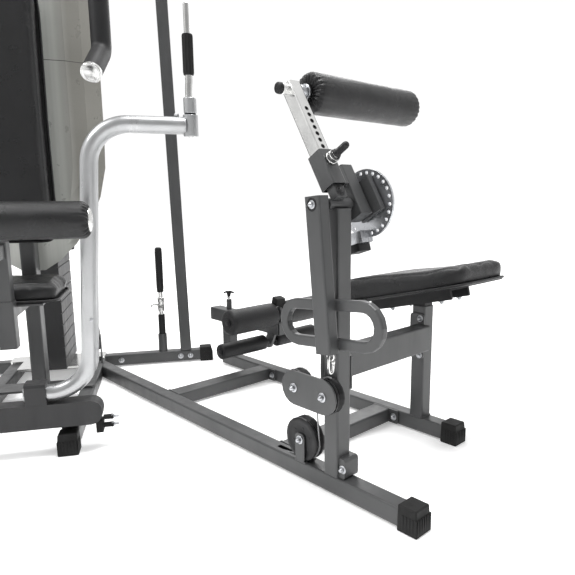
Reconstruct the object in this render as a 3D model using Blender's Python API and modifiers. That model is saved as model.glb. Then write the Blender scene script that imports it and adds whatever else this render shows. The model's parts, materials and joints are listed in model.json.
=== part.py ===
"""Multi station home gym: a weight-stack tower with two press arms, and an ab and back station.

Metres, +Z up.  X runs along the base beam of the ab and back station and Y across it.  The tower
stands on its own axes: x to its right, y to its rear, turned by TOWER_TURN about the vertical.
"""
import math

import bmesh
import bpy
from mathutils import Euler, Matrix, Vector

# ---------------------------------------------------------------- driving dimensions (metres)
GAP = 0.0003                 # clearance between pieces that touch
TUBE = 0.050                 # square steel tube of both frames
WALL = 0.0025
CORNER = 0.005               # outside corner radius of the square tube
FLOOR_GAP = 0.006            # underside of the base beams above the floor
BEAM_TOP = FLOOR_GAP + TUBE

# ab and back station
STATION_FRONT = -0.050       # end of the base beam tube, inside its foot
STATION_BACK = -1.775        # cut off on the side of the tower's base rail
REAR_BEAM_Y = 0.4963         # second base beam, parallel to the first
REAR_BEAM_X = (-1.478, -0.257)
CROSS_RAILS_X = {"cross_rail_left": -1.164, "cross_rail_right": -0.5115}
POST_X = -0.286              # station post on the base beam
POST_TOP = 0.760
PIVOT_Z = 0.770              # lever pivot, axis along Y
SHAFT_R = 0.010
BEARING_R = 0.0145
LEVER_Y = (-0.090, -0.055)   # the hanging lever, beside the post
LEVER_WIDTH = 0.050
LEVER_TILT = math.radians(5.6)
LEVER_LENGTH = 0.362
HOOP_SIZE = (0.354, 0.125)   # long and short outside size of the hoop on the lever
HOOP_CENTRE = (-0.268, 0.477)
HOOP_BAR = 0.028
ARM_TILT = math.radians(31.3)  # roller arm, leaning away from the front foot
ARM_SHIFT = 0.022            # its sleeve stands this far in front of the pivot
ARM_Y = -0.011
SLEEVE = 0.048
ARM_TUBE = 0.038
ROLLER_REACH = 0.333         # sleeve's line to chest roller axis
CHEST_ROLLER_Y = (0.040, 0.476)
CHEST_ROLLER_R = 0.053
DISC_R = 0.088
DISC_Y = (0.1065, 0.1125)
DISC_HOLES = 24
SEAT_POST_X = -0.370
SEAT_POST_TOP = 0.435
SEAT_BEAM_X = -0.346
SEAT_BEAM_Z = (0.294, 0.378)
SEAT_TILT = math.radians(14.0)   # the ab seat slopes down towards the foot rollers
SEAT_SIZE = (0.470, 0.290, 0.062)
LEG_POST_X = -1.448
BOOM_Z = 0.235
FOOT_ROLLERS = {"upper": (-1.100, 0.296, 0.050), "lower": (-1.160, 0.168, 0.031)}  # x, z, radius
FOOT_ROLLER_LENGTH = 0.228
GUIDE_PULLEYS_X = (-0.383, -0.276)
GUIDE_PULLEY_Z = 0.288
GUIDE_PULLEY_Y = -0.045
GUIDE_PULLEY_R = 0.048
LOW_PULLEY = (-0.404, -0.005, 0.1210)
LOW_PULLEY_R = 0.062
RAIL_PULLEY_Z = 0.165
RAIL_PULLEY_R = 0.048
RISER_X = 0.170              # the ab cable climbs behind the pulley on the right base rail
GROOVE = 0.008
CABLE_R = 0.0025

# tower
TOWER_ORIGIN = (-1.928, -0.099)  # middle of the tower's rear base beam
TOWER_TURN = math.radians(60.0)
REAR_HALF = 0.630
RAIL_X = 0.170
RAIL_FRONT = -0.905
UPRIGHT_BASE_X = 0.555
UPRIGHT_TOP_X = 0.508
TOWER_TOP = 2.030
BOOM_FRONT = -1.060
COLUMN_Y = -0.420
COLUMN = (0.050, 0.075)
STACK_Y = -0.080
STACK_SIZE = (0.120, 0.290)
PLATE_COUNT = 10
PLATE_PITCH = 0.048
ROD_SPACING = 0.080
HEAD_TOP = BEAM_TOP + 0.0106 + PLATE_COUNT * PLATE_PITCH + 0.095
STACK_CABLE_X = 0.0095       # the ab cable comes down beside the lat cable
TOP_PULLEY_R = 0.040
RETURN_PULLEY_Z = 1.930      # the wide pulley that returns the ab cable to the stack
LAT_PULLEY_Z = 2.030
LAT_BAR_Y = -0.985
LAT_BAR_Z = 1.860
PRESS_Y = -0.910             # plane of the press arms
PRESS_PIVOT_Z = 0.195
PRESS_X = (0.242, 0.292)     # the arms lean outwards, from the lower bend to the upper
PRESS_TOP = 0.995
PRESS_R = 0.025
GRIP_X = 0.580
FLY_Y = -0.620
FLY_X = 0.316
THIGH_ROLLER = (-1.070, 0.725, 0.050)   # y, z, radius
CURL_BAR_X = 0.450

GYM = "multi_station_home_gym"


# ---------------------------------------------------------------- tools
def start():
    for old in list(bpy.data.objects):
        bpy.data.objects.remove(old, do_unlink=True)
    for name in (GYM, "cutters"):
        if name not in bpy.data.collections:
            bpy.context.scene.collection.children.link(bpy.data.collections.new(name))


def material(name, colour, roughness, metallic):
    mat = bpy.data.materials.get(name) or bpy.data.materials.new(name)
    mat.use_nodes = True
    shader = mat.node_tree.nodes["Principled BSDF"]
    shader.inputs["Base Color"].default_value = (*colour, 1.0)
    shader.inputs["Roughness"].default_value = roughness
    shader.inputs["Metallic"].default_value = metallic
    mat.diffuse_color = (*colour, 1.0)
    return mat


FINISHES = {
    "frame": ((0.085, 0.087, 0.091), 0.45, 0.3),
    "silver": ((0.60, 0.61, 0.62), 0.30, 0.8),
    "chrome": ((0.80, 0.80, 0.80), 0.12, 1.0),
    "vinyl": ((0.018, 0.018, 0.019), 0.40, 0.0),
    "foam": ((0.022, 0.022, 0.023), 0.70, 0.0),
    "rubber": ((0.020, 0.020, 0.020), 0.80, 0.0),
    "plastic": ((0.025, 0.025, 0.026), 0.45, 0.0),
    "shroud": ((0.30, 0.30, 0.27), 0.35, 0.1),
    "iron": ((0.05, 0.05, 0.05), 0.55, 0.6),
    "cable": ((0.35, 0.35, 0.35), 0.40, 0.8),
}


def finish(obj, slot):
    obj.data.materials.clear()
    obj.data.materials.append(material(slot, *FINISHES[slot]))
    return obj


def place(obj, centre, rotation=(0.0, 0.0, 0.0)):
    obj.location = centre
    obj.rotation_euler = rotation
    return obj


def mesh_object(name, build):
    """One object whose mesh the build function makes in a bmesh."""
    bm = bmesh.new()
    build(bm)
    bmesh.ops.recalc_face_normals(bm, faces=bm.faces)
    mesh = bpy.data.meshes.new(name)
    bm.to_mesh(mesh)
    bm.free()
    obj = bpy.data.objects.new(name, mesh)
    bpy.data.collections[GYM].objects.link(obj)
    return obj


def round_edges(bm, radius, axis=None, segments=2):
    """Bevel every edge, or only those along one axis."""
    edges = []
    for edge in bm.edges:
        way = (edge.verts[1].co - edge.verts[0].co).normalized()
        if axis is None or abs(way[axis]) > 0.99:
            edges.append(edge)
    bmesh.ops.bevel(bm, geom=edges, offset=radius, segments=segments, affect="EDGES", profile=0.5)


def box(name, size, centre, rotation=(0, 0, 0), radius=0.0, axis=None, segments=2):
    def build(bm):
        bmesh.ops.create_cube(bm, size=1.0, matrix=Matrix.Diagonal((*size, 1.0)))
        if radius:
            round_edges(bm, radius, axis, segments)
    return place(mesh_object(name, build), centre, rotation)


def span(name, low, high, **shape):
    """A box given by its lowest and highest corners."""
    size = [b - a for a, b in zip(low, high)]
    centre = [(a + b) / 2 for a, b in zip(low, high)]
    return box(name, size, centre, **shape)


def hollow(name, size, centre, rotation=(0, 0, 0), along=0, wall=WALL, radius=CORNER):
    """A rectangular tube, open at both ends."""
    def build(bm):
        bmesh.ops.create_cube(bm, size=1.0, matrix=Matrix.Diagonal((*size, 1.0)))
        round_edges(bm, radius, along)
        ends = [f for f in bm.faces if abs(f.normal[along]) > 0.99]
        bmesh.ops.delete(bm, geom=ends, context="FACES_ONLY")
    tube = place(mesh_object(name, build), centre, rotation)
    shell = tube.modifiers.new("wall", "SOLIDIFY")
    shell.thickness = wall
    shell.offset = -1.0
    shell.use_even_offset = True
    return tube


def between(name, a, b, section, up=(0, 0, 1), wall=WALL):
    """A rectangular tube from a to b: section is its size across and along up."""
    a, b = Vector(a), Vector(b)
    way = (b - a).normalized()
    side = Vector(up).cross(way).normalized()
    top = way.cross(side)
    turn = Matrix((way, side, top)).transposed().to_euler()
    return hollow(name, ((b - a).length, *section), (a + b) / 2, turn, 0, wall)


def cylinder(name, radius, depth, centre, rotation=(0, 0, 0), sides=24, radius2=None):
    def build(bm):
        bmesh.ops.create_cone(bm, cap_ends=True, segments=sides, radius1=radius,
                              radius2=radius if radius2 is None else radius2, depth=depth)
    obj = place(mesh_object(name, build), centre, rotation)
    obj.data.shade_smooth()
    obj.data.set_sharp_from_angle(angle=math.radians(40))
    return obj


def turned(name, profile, centre, rotation=(0, 0, 0), steps=24):
    """A closed profile of (radius, height) points, top to bottom on its outside, turned about Z."""
    def build(bm):
        points = [bm.verts.new((r, 0.0, h)) for r, h in profile]
        for here, there in zip(points, points[1:] + points[:1]):
            bm.edges.new((here, there))
    obj = place(mesh_object(name, build), centre, rotation)
    screw = obj.modifiers.new("turn", "SCREW")
    screw.steps = steps
    screw.render_steps = steps
    screw.use_merge_vertices = True
    screw.merge_threshold = 0.0001
    screw.use_smooth_shade = True
    return obj


def bend(points, radius, steps=8):
    """The points of a path whose inner corners are rounded to one radius."""
    path = [Vector(points[0])]
    for before, corner, after in zip(points, points[1:], points[2:]):
        corner = Vector(corner)
        to_start = (Vector(before) - corner).normalized()
        to_end = (Vector(after) - corner).normalized()
        half = to_start.angle(to_end) / 2
        reach = radius / math.tan(half)
        centre = corner + (to_start + to_end).normalized() * radius / math.sin(half)
        first = corner + to_start * reach - centre
        last = corner + to_end * reach - centre
        sweep = first.angle(last)
        for step in range(steps + 1):
            part = step / steps
            arm = (math.sin((1 - part) * sweep) * first + math.sin(part * sweep) * last)
            path.append(centre + arm / math.sin(sweep))
    path.append(Vector(points[-1]))
    return path


def curve_object(name, splines, flat=False):
    curve = bpy.data.curves.new(name, "CURVE")
    curve.dimensions = "2D" if flat else "3D"
    for points, closed in splines:
        spline = curve.splines.new("POLY")
        spline.points.add(len(points) - 1)
        for slot, point in zip(spline.points, points):
            slot.co = (*point, 1.0) if len(point) == 3 else (*point, 0.0, 1.0)
        spline.use_cyclic_u = closed
    obj = bpy.data.objects.new(name, curve)
    bpy.data.collections[GYM].objects.link(obj)
    return obj


def round_tube(name, path, radius, wall=0.0, resolution=4):
    """A round bar along a path, or a tube with open ends when a wall is given."""
    obj = curve_object(name, [(path, False)])
    obj.data.bevel_depth = radius
    obj.data.bevel_resolution = resolution
    obj.data.use_fill_caps = not wall
    if not wall:
        return obj
    obj = as_mesh(obj)
    shell = obj.modifiers.new("wall", "SOLIDIFY")
    shell.thickness = wall
    shell.offset = -1.0
    return obj


def stadium(length, height, steps=8):
    """The outline of a bar with round ends, lying along x."""
    radius = height / 2
    reach = length / 2 - radius
    outline = []
    for side in (1, -1):
        for step in range(steps + 1):
            angle = math.pi * (step / steps - 0.5)
            outline.append((side * (reach + radius * math.cos(angle)), side * radius * math.sin(angle)))
    return outline


def plate(name, outlines, thickness, centre, rotation=(0, 0, 0), rounding=0.0):
    """A flat plate: the first outline is its edge and the others are its openings."""
    obj = curve_object(name, [(points, True) for points in outlines], flat=True)
    obj.data.fill_mode = "BOTH"
    obj.data.extrude = thickness / 2 - rounding
    obj.data.bevel_depth = rounding
    obj.data.bevel_resolution = 1
    obj.data.offset = -rounding
    return as_mesh(place(obj, centre, rotation))


def circle(radius, sides=24, centre=(0.0, 0.0)):
    return [(centre[0] + radius * math.cos(math.tau * i / sides),
             centre[1] + radius * math.sin(math.tau * i / sides)) for i in range(sides)]


def as_mesh(obj):
    """The same piece as a welded mesh object, so that it can be cut and joined."""
    bpy.context.view_layer.update()
    shape = obj.evaluated_get(bpy.context.evaluated_depsgraph_get())
    mesh = bpy.data.meshes.new_from_object(shape)
    bm = bmesh.new()
    bm.from_mesh(mesh)
    bmesh.ops.remove_doubles(bm, verts=bm.verts, dist=0.00005)
    bmesh.ops.recalc_face_normals(bm, faces=bm.faces)
    bm.to_mesh(mesh)
    bm.free()
    name = obj.name
    solid = bpy.data.objects.new(name + ".solid", mesh)
    bpy.data.collections[GYM].objects.link(solid)
    solid.matrix_world = obj.matrix_world
    bpy.data.objects.remove(obj, do_unlink=True)
    solid.name = name
    return solid


def boolean(obj, tool, operation):
    change = obj.modifiers.new(tool.name, "BOOLEAN")
    change.operation = operation
    change.solver = "EXACT"
    change.object = tool
    tool.hide_render = True
    tool.display_type = "WIRE"
    if tool.name in bpy.data.collections[GYM].objects:
        bpy.data.collections[GYM].objects.unlink(tool)
        bpy.data.collections["cutters"].objects.link(tool)


def weld(obj, *others):
    for other in others:
        boolean(obj, other, "UNION")
    return obj


def cut(obj, *others):
    for other in others:
        boolean(obj, other, "DIFFERENCE")
    return obj


def place_of(empty):
    """Where an empty is, in the room's axes or in the tower's."""
    total = Vector()
    while empty is not None and empty.name != "tower_axes":
        total += empty.location
        empty = empty.parent
    return total


def axis_empty(name, location, parent=None, rotation=(0, 0, 0)):
    """The joint's place: what moves is parented to it."""
    empty = bpy.data.objects.new(name, None)
    bpy.data.collections[GYM].objects.link(empty)
    empty.location = Vector(location) - place_of(parent)
    empty.rotation_euler = rotation
    empty.parent = parent
    bpy.context.view_layer.update()
    return empty


def attach(obj, parent):
    """Parent a piece, and the cutters that shape it, without moving them."""
    bpy.context.view_layer.update()
    for piece in [obj] + [m.object for m in obj.modifiers if m.type == "BOOLEAN"]:
        world = piece.matrix_world.copy()
        piece.parent = parent
        piece.matrix_parent_inverse = parent.matrix_world.inverted()
        piece.matrix_world = world
    return obj


def seat_on(obj, holder):
    """Put a piece that was made in a holder's own axes where the holder is."""
    for piece in [obj] + [m.object for m in obj.modifiers if m.type == "BOOLEAN"]:
        piece.parent = holder
    return obj


ALONG_Y = (math.pi / 2, 0, 0)
ALONG_X = (0, math.pi / 2, 0)


def foot(name, centre, yaw):
    """Moulded foot that plugs over the end of a base beam; its mouth faces its own -x."""
    length, width, height = 0.060, 0.062, 0.068

    def build(bm):
        bmesh.ops.create_cube(bm, size=1.0, matrix=Matrix.Diagonal((length, width, height, 1.0)))
        for vert in bm.verts:
            if vert.co.z > 0:
                vert.co.y *= 0.90
                if vert.co.x > 0:
                    vert.co.x -= 0.006
        round_edges(bm, 0.003, segments=1)
    cap = place(mesh_object(name, build), (*centre, height / 2), (0, 0, yaw))
    pocket = box(name + "_pocket", (length, TUBE + 2 * GAP, TUBE + 2 * GAP), (0, 0, 0))
    inward = Matrix.Rotation(yaw, 4, "Z") @ Vector((-0.010, 0, 0))
    place(pocket, (centre[0] + inward.x, centre[1] + inward.y, FLOOR_GAP + TUBE / 2), (0, 0, yaw))
    return finish(cut(cap, pocket), "rubber")


def roller(name, radius, length, centre, rotation, bore, end_round=0.010):
    """A foam roller, bored for its shaft."""
    half = length / 2
    profile = [(bore, half), (radius - end_round, half)]
    for step in range(1, 3):
        angle = math.pi / 2 * (1 - step / 2)
        profile.append((radius - end_round + end_round * math.cos(angle),
                        half - end_round + end_round * math.sin(angle)))
    outer = [(r, -h) for r, h in reversed(profile)]
    return turned(name, profile + outer, centre, rotation, 16)


def pulley(name, radius, width, centre, axle=ALONG_Y, bore=0.0065):
    """A grooved cable pulley."""
    half = width / 2
    rim = [(bore, half), (radius, half), (radius, half * 0.65), (radius - GROOVE, 0.0),
           (radius, -half * 0.65), (radius, -half), (bore, -half)]
    return finish(turned(name, rim, centre, axle, 20), "plastic")


# ---------------------------------------------------------------- ab and back station, fixed frame
def station_base():
    beam = between("ab_base_beam", (STATION_BACK, 0, FLOOR_GAP + TUBE / 2),
                   (STATION_FRONT, 0, FLOOR_GAP + TUBE / 2), (TUBE, TUBE))
    slots = [span("cable_slot_%d" % i, (x - 0.045, -0.008, 0.045), (x + 0.045, 0.008, 0.070))
             for i, x in enumerate((-0.480,))]
    middle = Matrix.Rotation(TOWER_TURN, 4, "Z") @ Vector((RAIL_X, RAIL_FRONT / 2, 0))
    mitre = box("base_beam_mitre", (TUBE + 2 * GAP, 1.100, 0.200),
                (TOWER_ORIGIN[0] + middle.x, TOWER_ORIGIN[1] + middle.y, 0), (0, 0, TOWER_TURN))
    beyond = box("base_beam_beyond", (0.080, 1.100, 0.200),
                 (TOWER_ORIGIN[0] + middle.x - 0.0325, TOWER_ORIGIN[1] + middle.y - 0.0563, 0),
                 (0, 0, TOWER_TURN))
    forks = beam_fork("low_pulley", LOW_PULLEY)
    finish(weld(cut(beam, mitre, beyond, *slots), *forks), "frame")
    foot("ab_front_foot", (STATION_FRONT + 0.020, 0), 0.0)
    rear = between("ab_rear_beam", (REAR_BEAM_X[0], REAR_BEAM_Y, FLOOR_GAP + TUBE / 2),
                   (REAR_BEAM_X[1], REAR_BEAM_Y, FLOOR_GAP + TUBE / 2), (TUBE, TUBE))
    posts = [between(name, (x, REAR_BEAM_Y, BEAM_TOP - 0.001), (x, REAR_BEAM_Y, top), (TUBE, TUBE), (1, 0, 0))
             for name, x, top in (("ab_seat_post", SEAT_POST_X, SEAT_POST_TOP),
                                  ("leg_post", LEG_POST_X, BOOM_Z - 0.0285))]
    sleeve = hollow("leg_sleeve", (0.252, 0.060, 0.060), (-1.430, REAR_BEAM_Y, BOOM_Z))
    boss = cylinder("leg_pin_boss", 0.0125, 0.050, (LEG_POST_X, REAR_BEAM_Y, BOOM_Z + 0.052), sides=16)
    bore = cylinder("leg_pin_bore", 0.0065, 0.080, (LEG_POST_X, REAR_BEAM_Y, BOOM_Z + 0.062), sides=16)
    vent = cylinder("leg_post_vent", 0.012, 0.040, (LEG_POST_X, REAR_BEAM_Y + 0.025, 0.150), ALONG_Y, 12)
    finish(cut(weld(rear, *posts, sleeve, boss), bore, vent), "frame")
    foot("ab_rear_foot", (REAR_BEAM_X[1] + 0.020, REAR_BEAM_Y), 0.0)
    inner = (TUBE / 2 + GAP, REAR_BEAM_Y - TUBE / 2 - GAP)
    for name, x in CROSS_RAILS_X.items():
        rail = between(name, (x, inner[0] + 0.005, FLOOR_GAP + TUBE / 2),
                       (x, inner[1] - 0.005, FLOOR_GAP + TUBE / 2), (0.070, TUBE - 0.002))
        flanges = [span("%s_flange_%d" % (name, i), (x - 0.039, y, FLOOR_GAP + 0.002),
                        (x + ear, y + 0.006, BEAM_TOP), radius=0.004, axis=1)
                   for i, (y, ear) in enumerate(((inner[0], 0.039), (inner[1] - 0.006, 0.072)))]
        holes = [span("%s_vent_%d" % (name, i), (x - 0.012, y - 0.002, 0.018),
                      (x + 0.012, y + 0.010, 0.044)) for i, y in enumerate((inner[0], inner[1] - 0.006))]
        finish(cut(weld(rail, *flanges), *holes), "frame")


def guide_cage():
    """The two plates and pins on the station post that carry the guide pulleys."""
    mid = (sum(GUIDE_PULLEYS_X) / 2, GUIDE_PULLEY_Z)
    spread = GUIDE_PULLEYS_X[1] - GUIDE_PULLEYS_X[0]
    near = plate("guide_plate_near", [stadium(spread + 0.094, 0.094)], 0.005, (mid[0], -0.0635, mid[1]), ALONG_Y)
    back = plate("guide_plate_back", [stadium(spread + 0.060, 0.050)], 0.005, (mid[0], -0.0268, mid[1]), ALONG_Y)
    pins = [cylinder("guide_pin_%d" % i, 0.006, 0.038, (x, -0.0455, GUIDE_PULLEY_Z), ALONG_Y, 16)
            for i, x in enumerate(GUIDE_PULLEYS_X)]
    return [near, back] + pins


def station_post():
    low = BEAM_TOP + GAP
    post = between("station_post", (POST_X, 0, low), (POST_X, 0, POST_TOP), (TUBE, TUBE), (1, 0, 0))
    saddle = span("post_bracket", (POST_X - 0.020, -0.018, low), (POST_X + 0.046, 0.034, 0.112),
                  radius=0.008, axis=1)
    bore = span("post_bore", (POST_X - TUBE / 2 + WALL, -TUBE / 2 + WALL, 0.040),
                (POST_X + TUBE / 2 - WALL, TUBE / 2 - WALL, 0.200))
    cap = span("post_cap", (POST_X - TUBE / 2 + 0.001, -TUBE / 2 + 0.001, POST_TOP - 0.004),
               (POST_X + TUBE / 2 - 0.001, TUBE / 2 - 0.001, POST_TOP - 0.0005))
    bearing = cylinder("pivot_bearing", BEARING_R, 0.080, (POST_X, 0.0, PIVOT_Z), ALONG_Y)
    through = cylinder("pivot_bore", SHAFT_R + 0.0005, 0.120, (POST_X, 0.0, PIVOT_Z), ALONG_Y)
    weld(post, saddle, cap, bearing, *guide_cage())
    finish(cut(post, bore, through), "frame")


def station_seat():
    end = REAR_BEAM_Y - TUBE / 2 - GAP
    mid = sum(SEAT_BEAM_Z) / 2
    beam = between("seat_beam", (SEAT_BEAM_X, 0.028, mid), (SEAT_BEAM_X, end - 0.003, mid),
                   (TUBE, SEAT_BEAM_Z[1] - SEAT_BEAM_Z[0]))
    post_plate = span("seat_beam_post_plate", (SEAT_BEAM_X - 0.027, TUBE / 2 + GAP, SEAT_BEAM_Z[0] - 0.004),
                      (POST_X + TUBE / 2, 0.032, SEAT_BEAM_Z[1] + 0.004), radius=0.003, axis=1)
    seat_plate = span("seat_beam_seat_plate", (SEAT_POST_X - 0.027, end - 0.006, 0.262),
                      (SEAT_POST_X + 0.027, end, 0.412), radius=0.010, axis=1)
    vent = span("seat_beam_vent", (SEAT_BEAM_X - 0.014, 0.0, mid - 0.025),
                (SEAT_BEAM_X + 0.014, REAR_BEAM_Y - 0.020, mid + 0.025))
    finish(cut(weld(beam, post_plate, seat_plate), vent), "frame")
    tilt = (0, -SEAT_TILT, 0)
    rise = Matrix.Rotation(-SEAT_TILT, 4, "Y") @ Vector((0, 0, 1))
    top = Vector((SEAT_POST_X, REAR_BEAM_Y, 0.467))
    way = Matrix.Rotation(-SEAT_TILT, 4, "Y") @ Vector((1, 0, 0))
    channel = box("ab_seat_bracket", (0.318, 0.110, 0.034), top - rise * 0.0065 - way * 0.020, tilt, 0.003, 1)
    trough = box("ab_seat_trough", (0.420, 0.092, 0.036), top - rise * 0.0140, tilt)
    neck = box("ab_seat_neck", (TUBE - 2 * WALL - 0.001, TUBE - 2 * WALL - 0.001, 0.082),
               (SEAT_POST_X, REAR_BEAM_Y, 0.425), (0, 0, 0), 0.003, 2)
    head = box("ab_seat_head", (0.060, 0.060, 0.014), top - rise * 0.0020, tilt)
    finish(weld(cut(channel, trough), head, neck), "plastic")
    pad = box("ab_seat_pad", SEAT_SIZE, top + rise * (0.0107 + GAP + SEAT_SIZE[2] / 2), tilt, 0.018)
    finish(pad, "vinyl")


def station_leg_holder():
    boom_axis = axis_empty("boom_slide", (LEG_POST_X, REAR_BEAM_Y, BOOM_Z))
    inner = 0.060 - 2 * WALL - 2 * 0.0006
    boom = hollow("leg_boom", (0.430, inner, inner), (-1.290, REAR_BEAM_Y, BOOM_Z))
    upper, lower = FOOT_ROLLERS["upper"], FOOT_ROLLERS["lower"]
    run = Vector((upper[0] - lower[0], 0, upper[1] - lower[1]))
    lean = math.atan2(run.x, run.z)
    arm_centre = ((upper[0] + lower[0]) / 2, REAR_BEAM_Y, (upper[1] + lower[1]) / 2)
    arm = plate("leg_arm", [stadium(run.length + 0.064, 0.044)], 0.012, arm_centre,
                (math.pi / 2, lean - math.pi / 2, 0))
    collar = box("leg_collar", (0.050, 0.040, 0.050), (-1.095, REAR_BEAM_Y, BOOM_Z))
    shafts = []
    for name, (x, z, r) in FOOT_ROLLERS.items():
        reach = 2 * FOOT_ROLLER_LENGTH + 0.068
        shafts.append(cylinder(name + "_foot_shaft", 0.0095, reach, (x, REAR_BEAM_Y, z), ALONG_Y, 16))
    pin_hole = cylinder("boom_pin_hole", 0.0065, 0.030, (LEG_POST_X, REAR_BEAM_Y, BOOM_Z + 0.028), sides=16)
    weld(boom, collar, arm, *shafts)
    attach(finish(cut(boom, pin_hole), "frame"), boom_axis)
    for level, (x, z, radius) in FOOT_ROLLERS.items():
        for side, way in (("near", -1), ("far", 1)):
            name = "%s_foot_roller_%s" % (level, side)
            y = REAR_BEAM_Y + way * (0.029 + FOOT_ROLLER_LENGTH / 2)
            spin = axis_empty(name + "_axis", (x, y, z), boom_axis)
            foam = roller(name, radius, FOOT_ROLLER_LENGTH, (x, y, z), ALONG_Y, 0.010)
            attach(finish(foam, "foam"), spin)
    pin_axis = axis_empty("boom_pin_slide", (LEG_POST_X, REAR_BEAM_Y, BOOM_Z + 0.075))
    top, tip = BOOM_Z + 0.077, BOOM_Z + 0.0275
    knob = turned("boom_pin", [(0.0001, top + 0.042), (0.022, top + 0.036), (0.024, top + 0.028),
                               (0.010, top + 0.022), (0.006, top), (0.006, tip), (0.0001, tip)],
                  (LEG_POST_X, REAR_BEAM_Y, 0), steps=16)
    attach(finish(knob, "plastic"), pin_axis)


# ---------------------------------------------------------------- ab and back station, lever and arm
def clip_turn():
    """Stands a lying link on end, across the lever."""
    quarter = math.pi / 2
    return (Matrix.Rotation(quarter, 3, "Z") @ Matrix.Rotation(quarter, 3, "X")
            @ Matrix.Rotation(quarter, 3, "Z")).to_euler()


def lever():
    pivot = Vector((POST_X, 0, PIVOT_Z))
    hinge = axis_empty("ab_lever_axis", pivot)
    down = Vector((math.sin(LEVER_TILT), 0, -math.cos(LEVER_TILT)))
    mid_y = sum(LEVER_Y) / 2
    depth = LEVER_Y[1] - LEVER_Y[0]
    top = pivot - down * 0.020
    low = pivot + down * LEVER_LENGTH
    bar = between("ab_lever", (top.x, mid_y, top.z), (low.x, mid_y, low.z), (depth, LEVER_WIDTH), (1, 0, 0))
    shaft = cylinder("lever_shaft", SHAFT_R, 0.208, (POST_X, 0.0155, PIVOT_Z), ALONG_Y)
    inner = (HOOP_SIZE[0] - 2 * HOOP_BAR, HOOP_SIZE[1] - 2 * HOOP_BAR)
    hoop = plate("lever_hoop", [stadium(*HOOP_SIZE), stadium(*inner)], 0.020,
                 (HOOP_CENTRE[0], LEVER_Y[1] + 0.0085, HOOP_CENTRE[1]),
                 (math.pi / 2, -LEVER_TILT, 0), rounding=0.004)
    end = box("lever_end", (LEVER_WIDTH - 0.002, depth - 0.002, 0.004), (low.x, mid_y, low.z + 0.003),
              (0, -LEVER_TILT, 0))
    ring = Vector((low.x, -0.0600, low.z - 0.008))
    eye = plate("lever_eye", [circle(0.0150, 16), circle(0.0078, 14)], 0.004, ring, (math.pi / 2, 0, 0))
    link = plate("lever_clip", [stadium(0.057, 0.022), stadium(0.047, 0.012)], 0.005,
                 (low.x, -0.0600, low.z - 0.0275), clip_turn())
    weld(bar, shaft, hoop, end, eye, link)
    attach(finish(bar, "frame"), hinge)
    openings = [circle(DISC_R, 36)]
    for i in range(DISC_HOLES):
        turn = math.tau * i / DISC_HOLES
        openings.append(circle(0.0050, 6, (0.078 * math.cos(turn), 0.078 * math.sin(turn))))
    openings.append(circle(SHAFT_R + GAP, 24))
    disc = plate("adjuster_disc", openings, DISC_Y[1] - DISC_Y[0], (POST_X, sum(DISC_Y) / 2, PIVOT_Z),
                 (math.pi / 2, 0, 0))
    attach(finish(disc, "chrome"), hinge)
    roller_arm(hinge, pivot)


def on_arm(pivot, reach, y, out=0.0):
    """A point along the roller arm from the pivot, and out from it on the side of the holes."""
    along = Vector((-math.sin(ARM_TILT), 0, math.cos(ARM_TILT)))
    away = Vector((math.cos(ARM_TILT), 0, math.sin(ARM_TILT)))
    return Vector((pivot.x, y, pivot.z)) + along * reach + away * out


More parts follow.
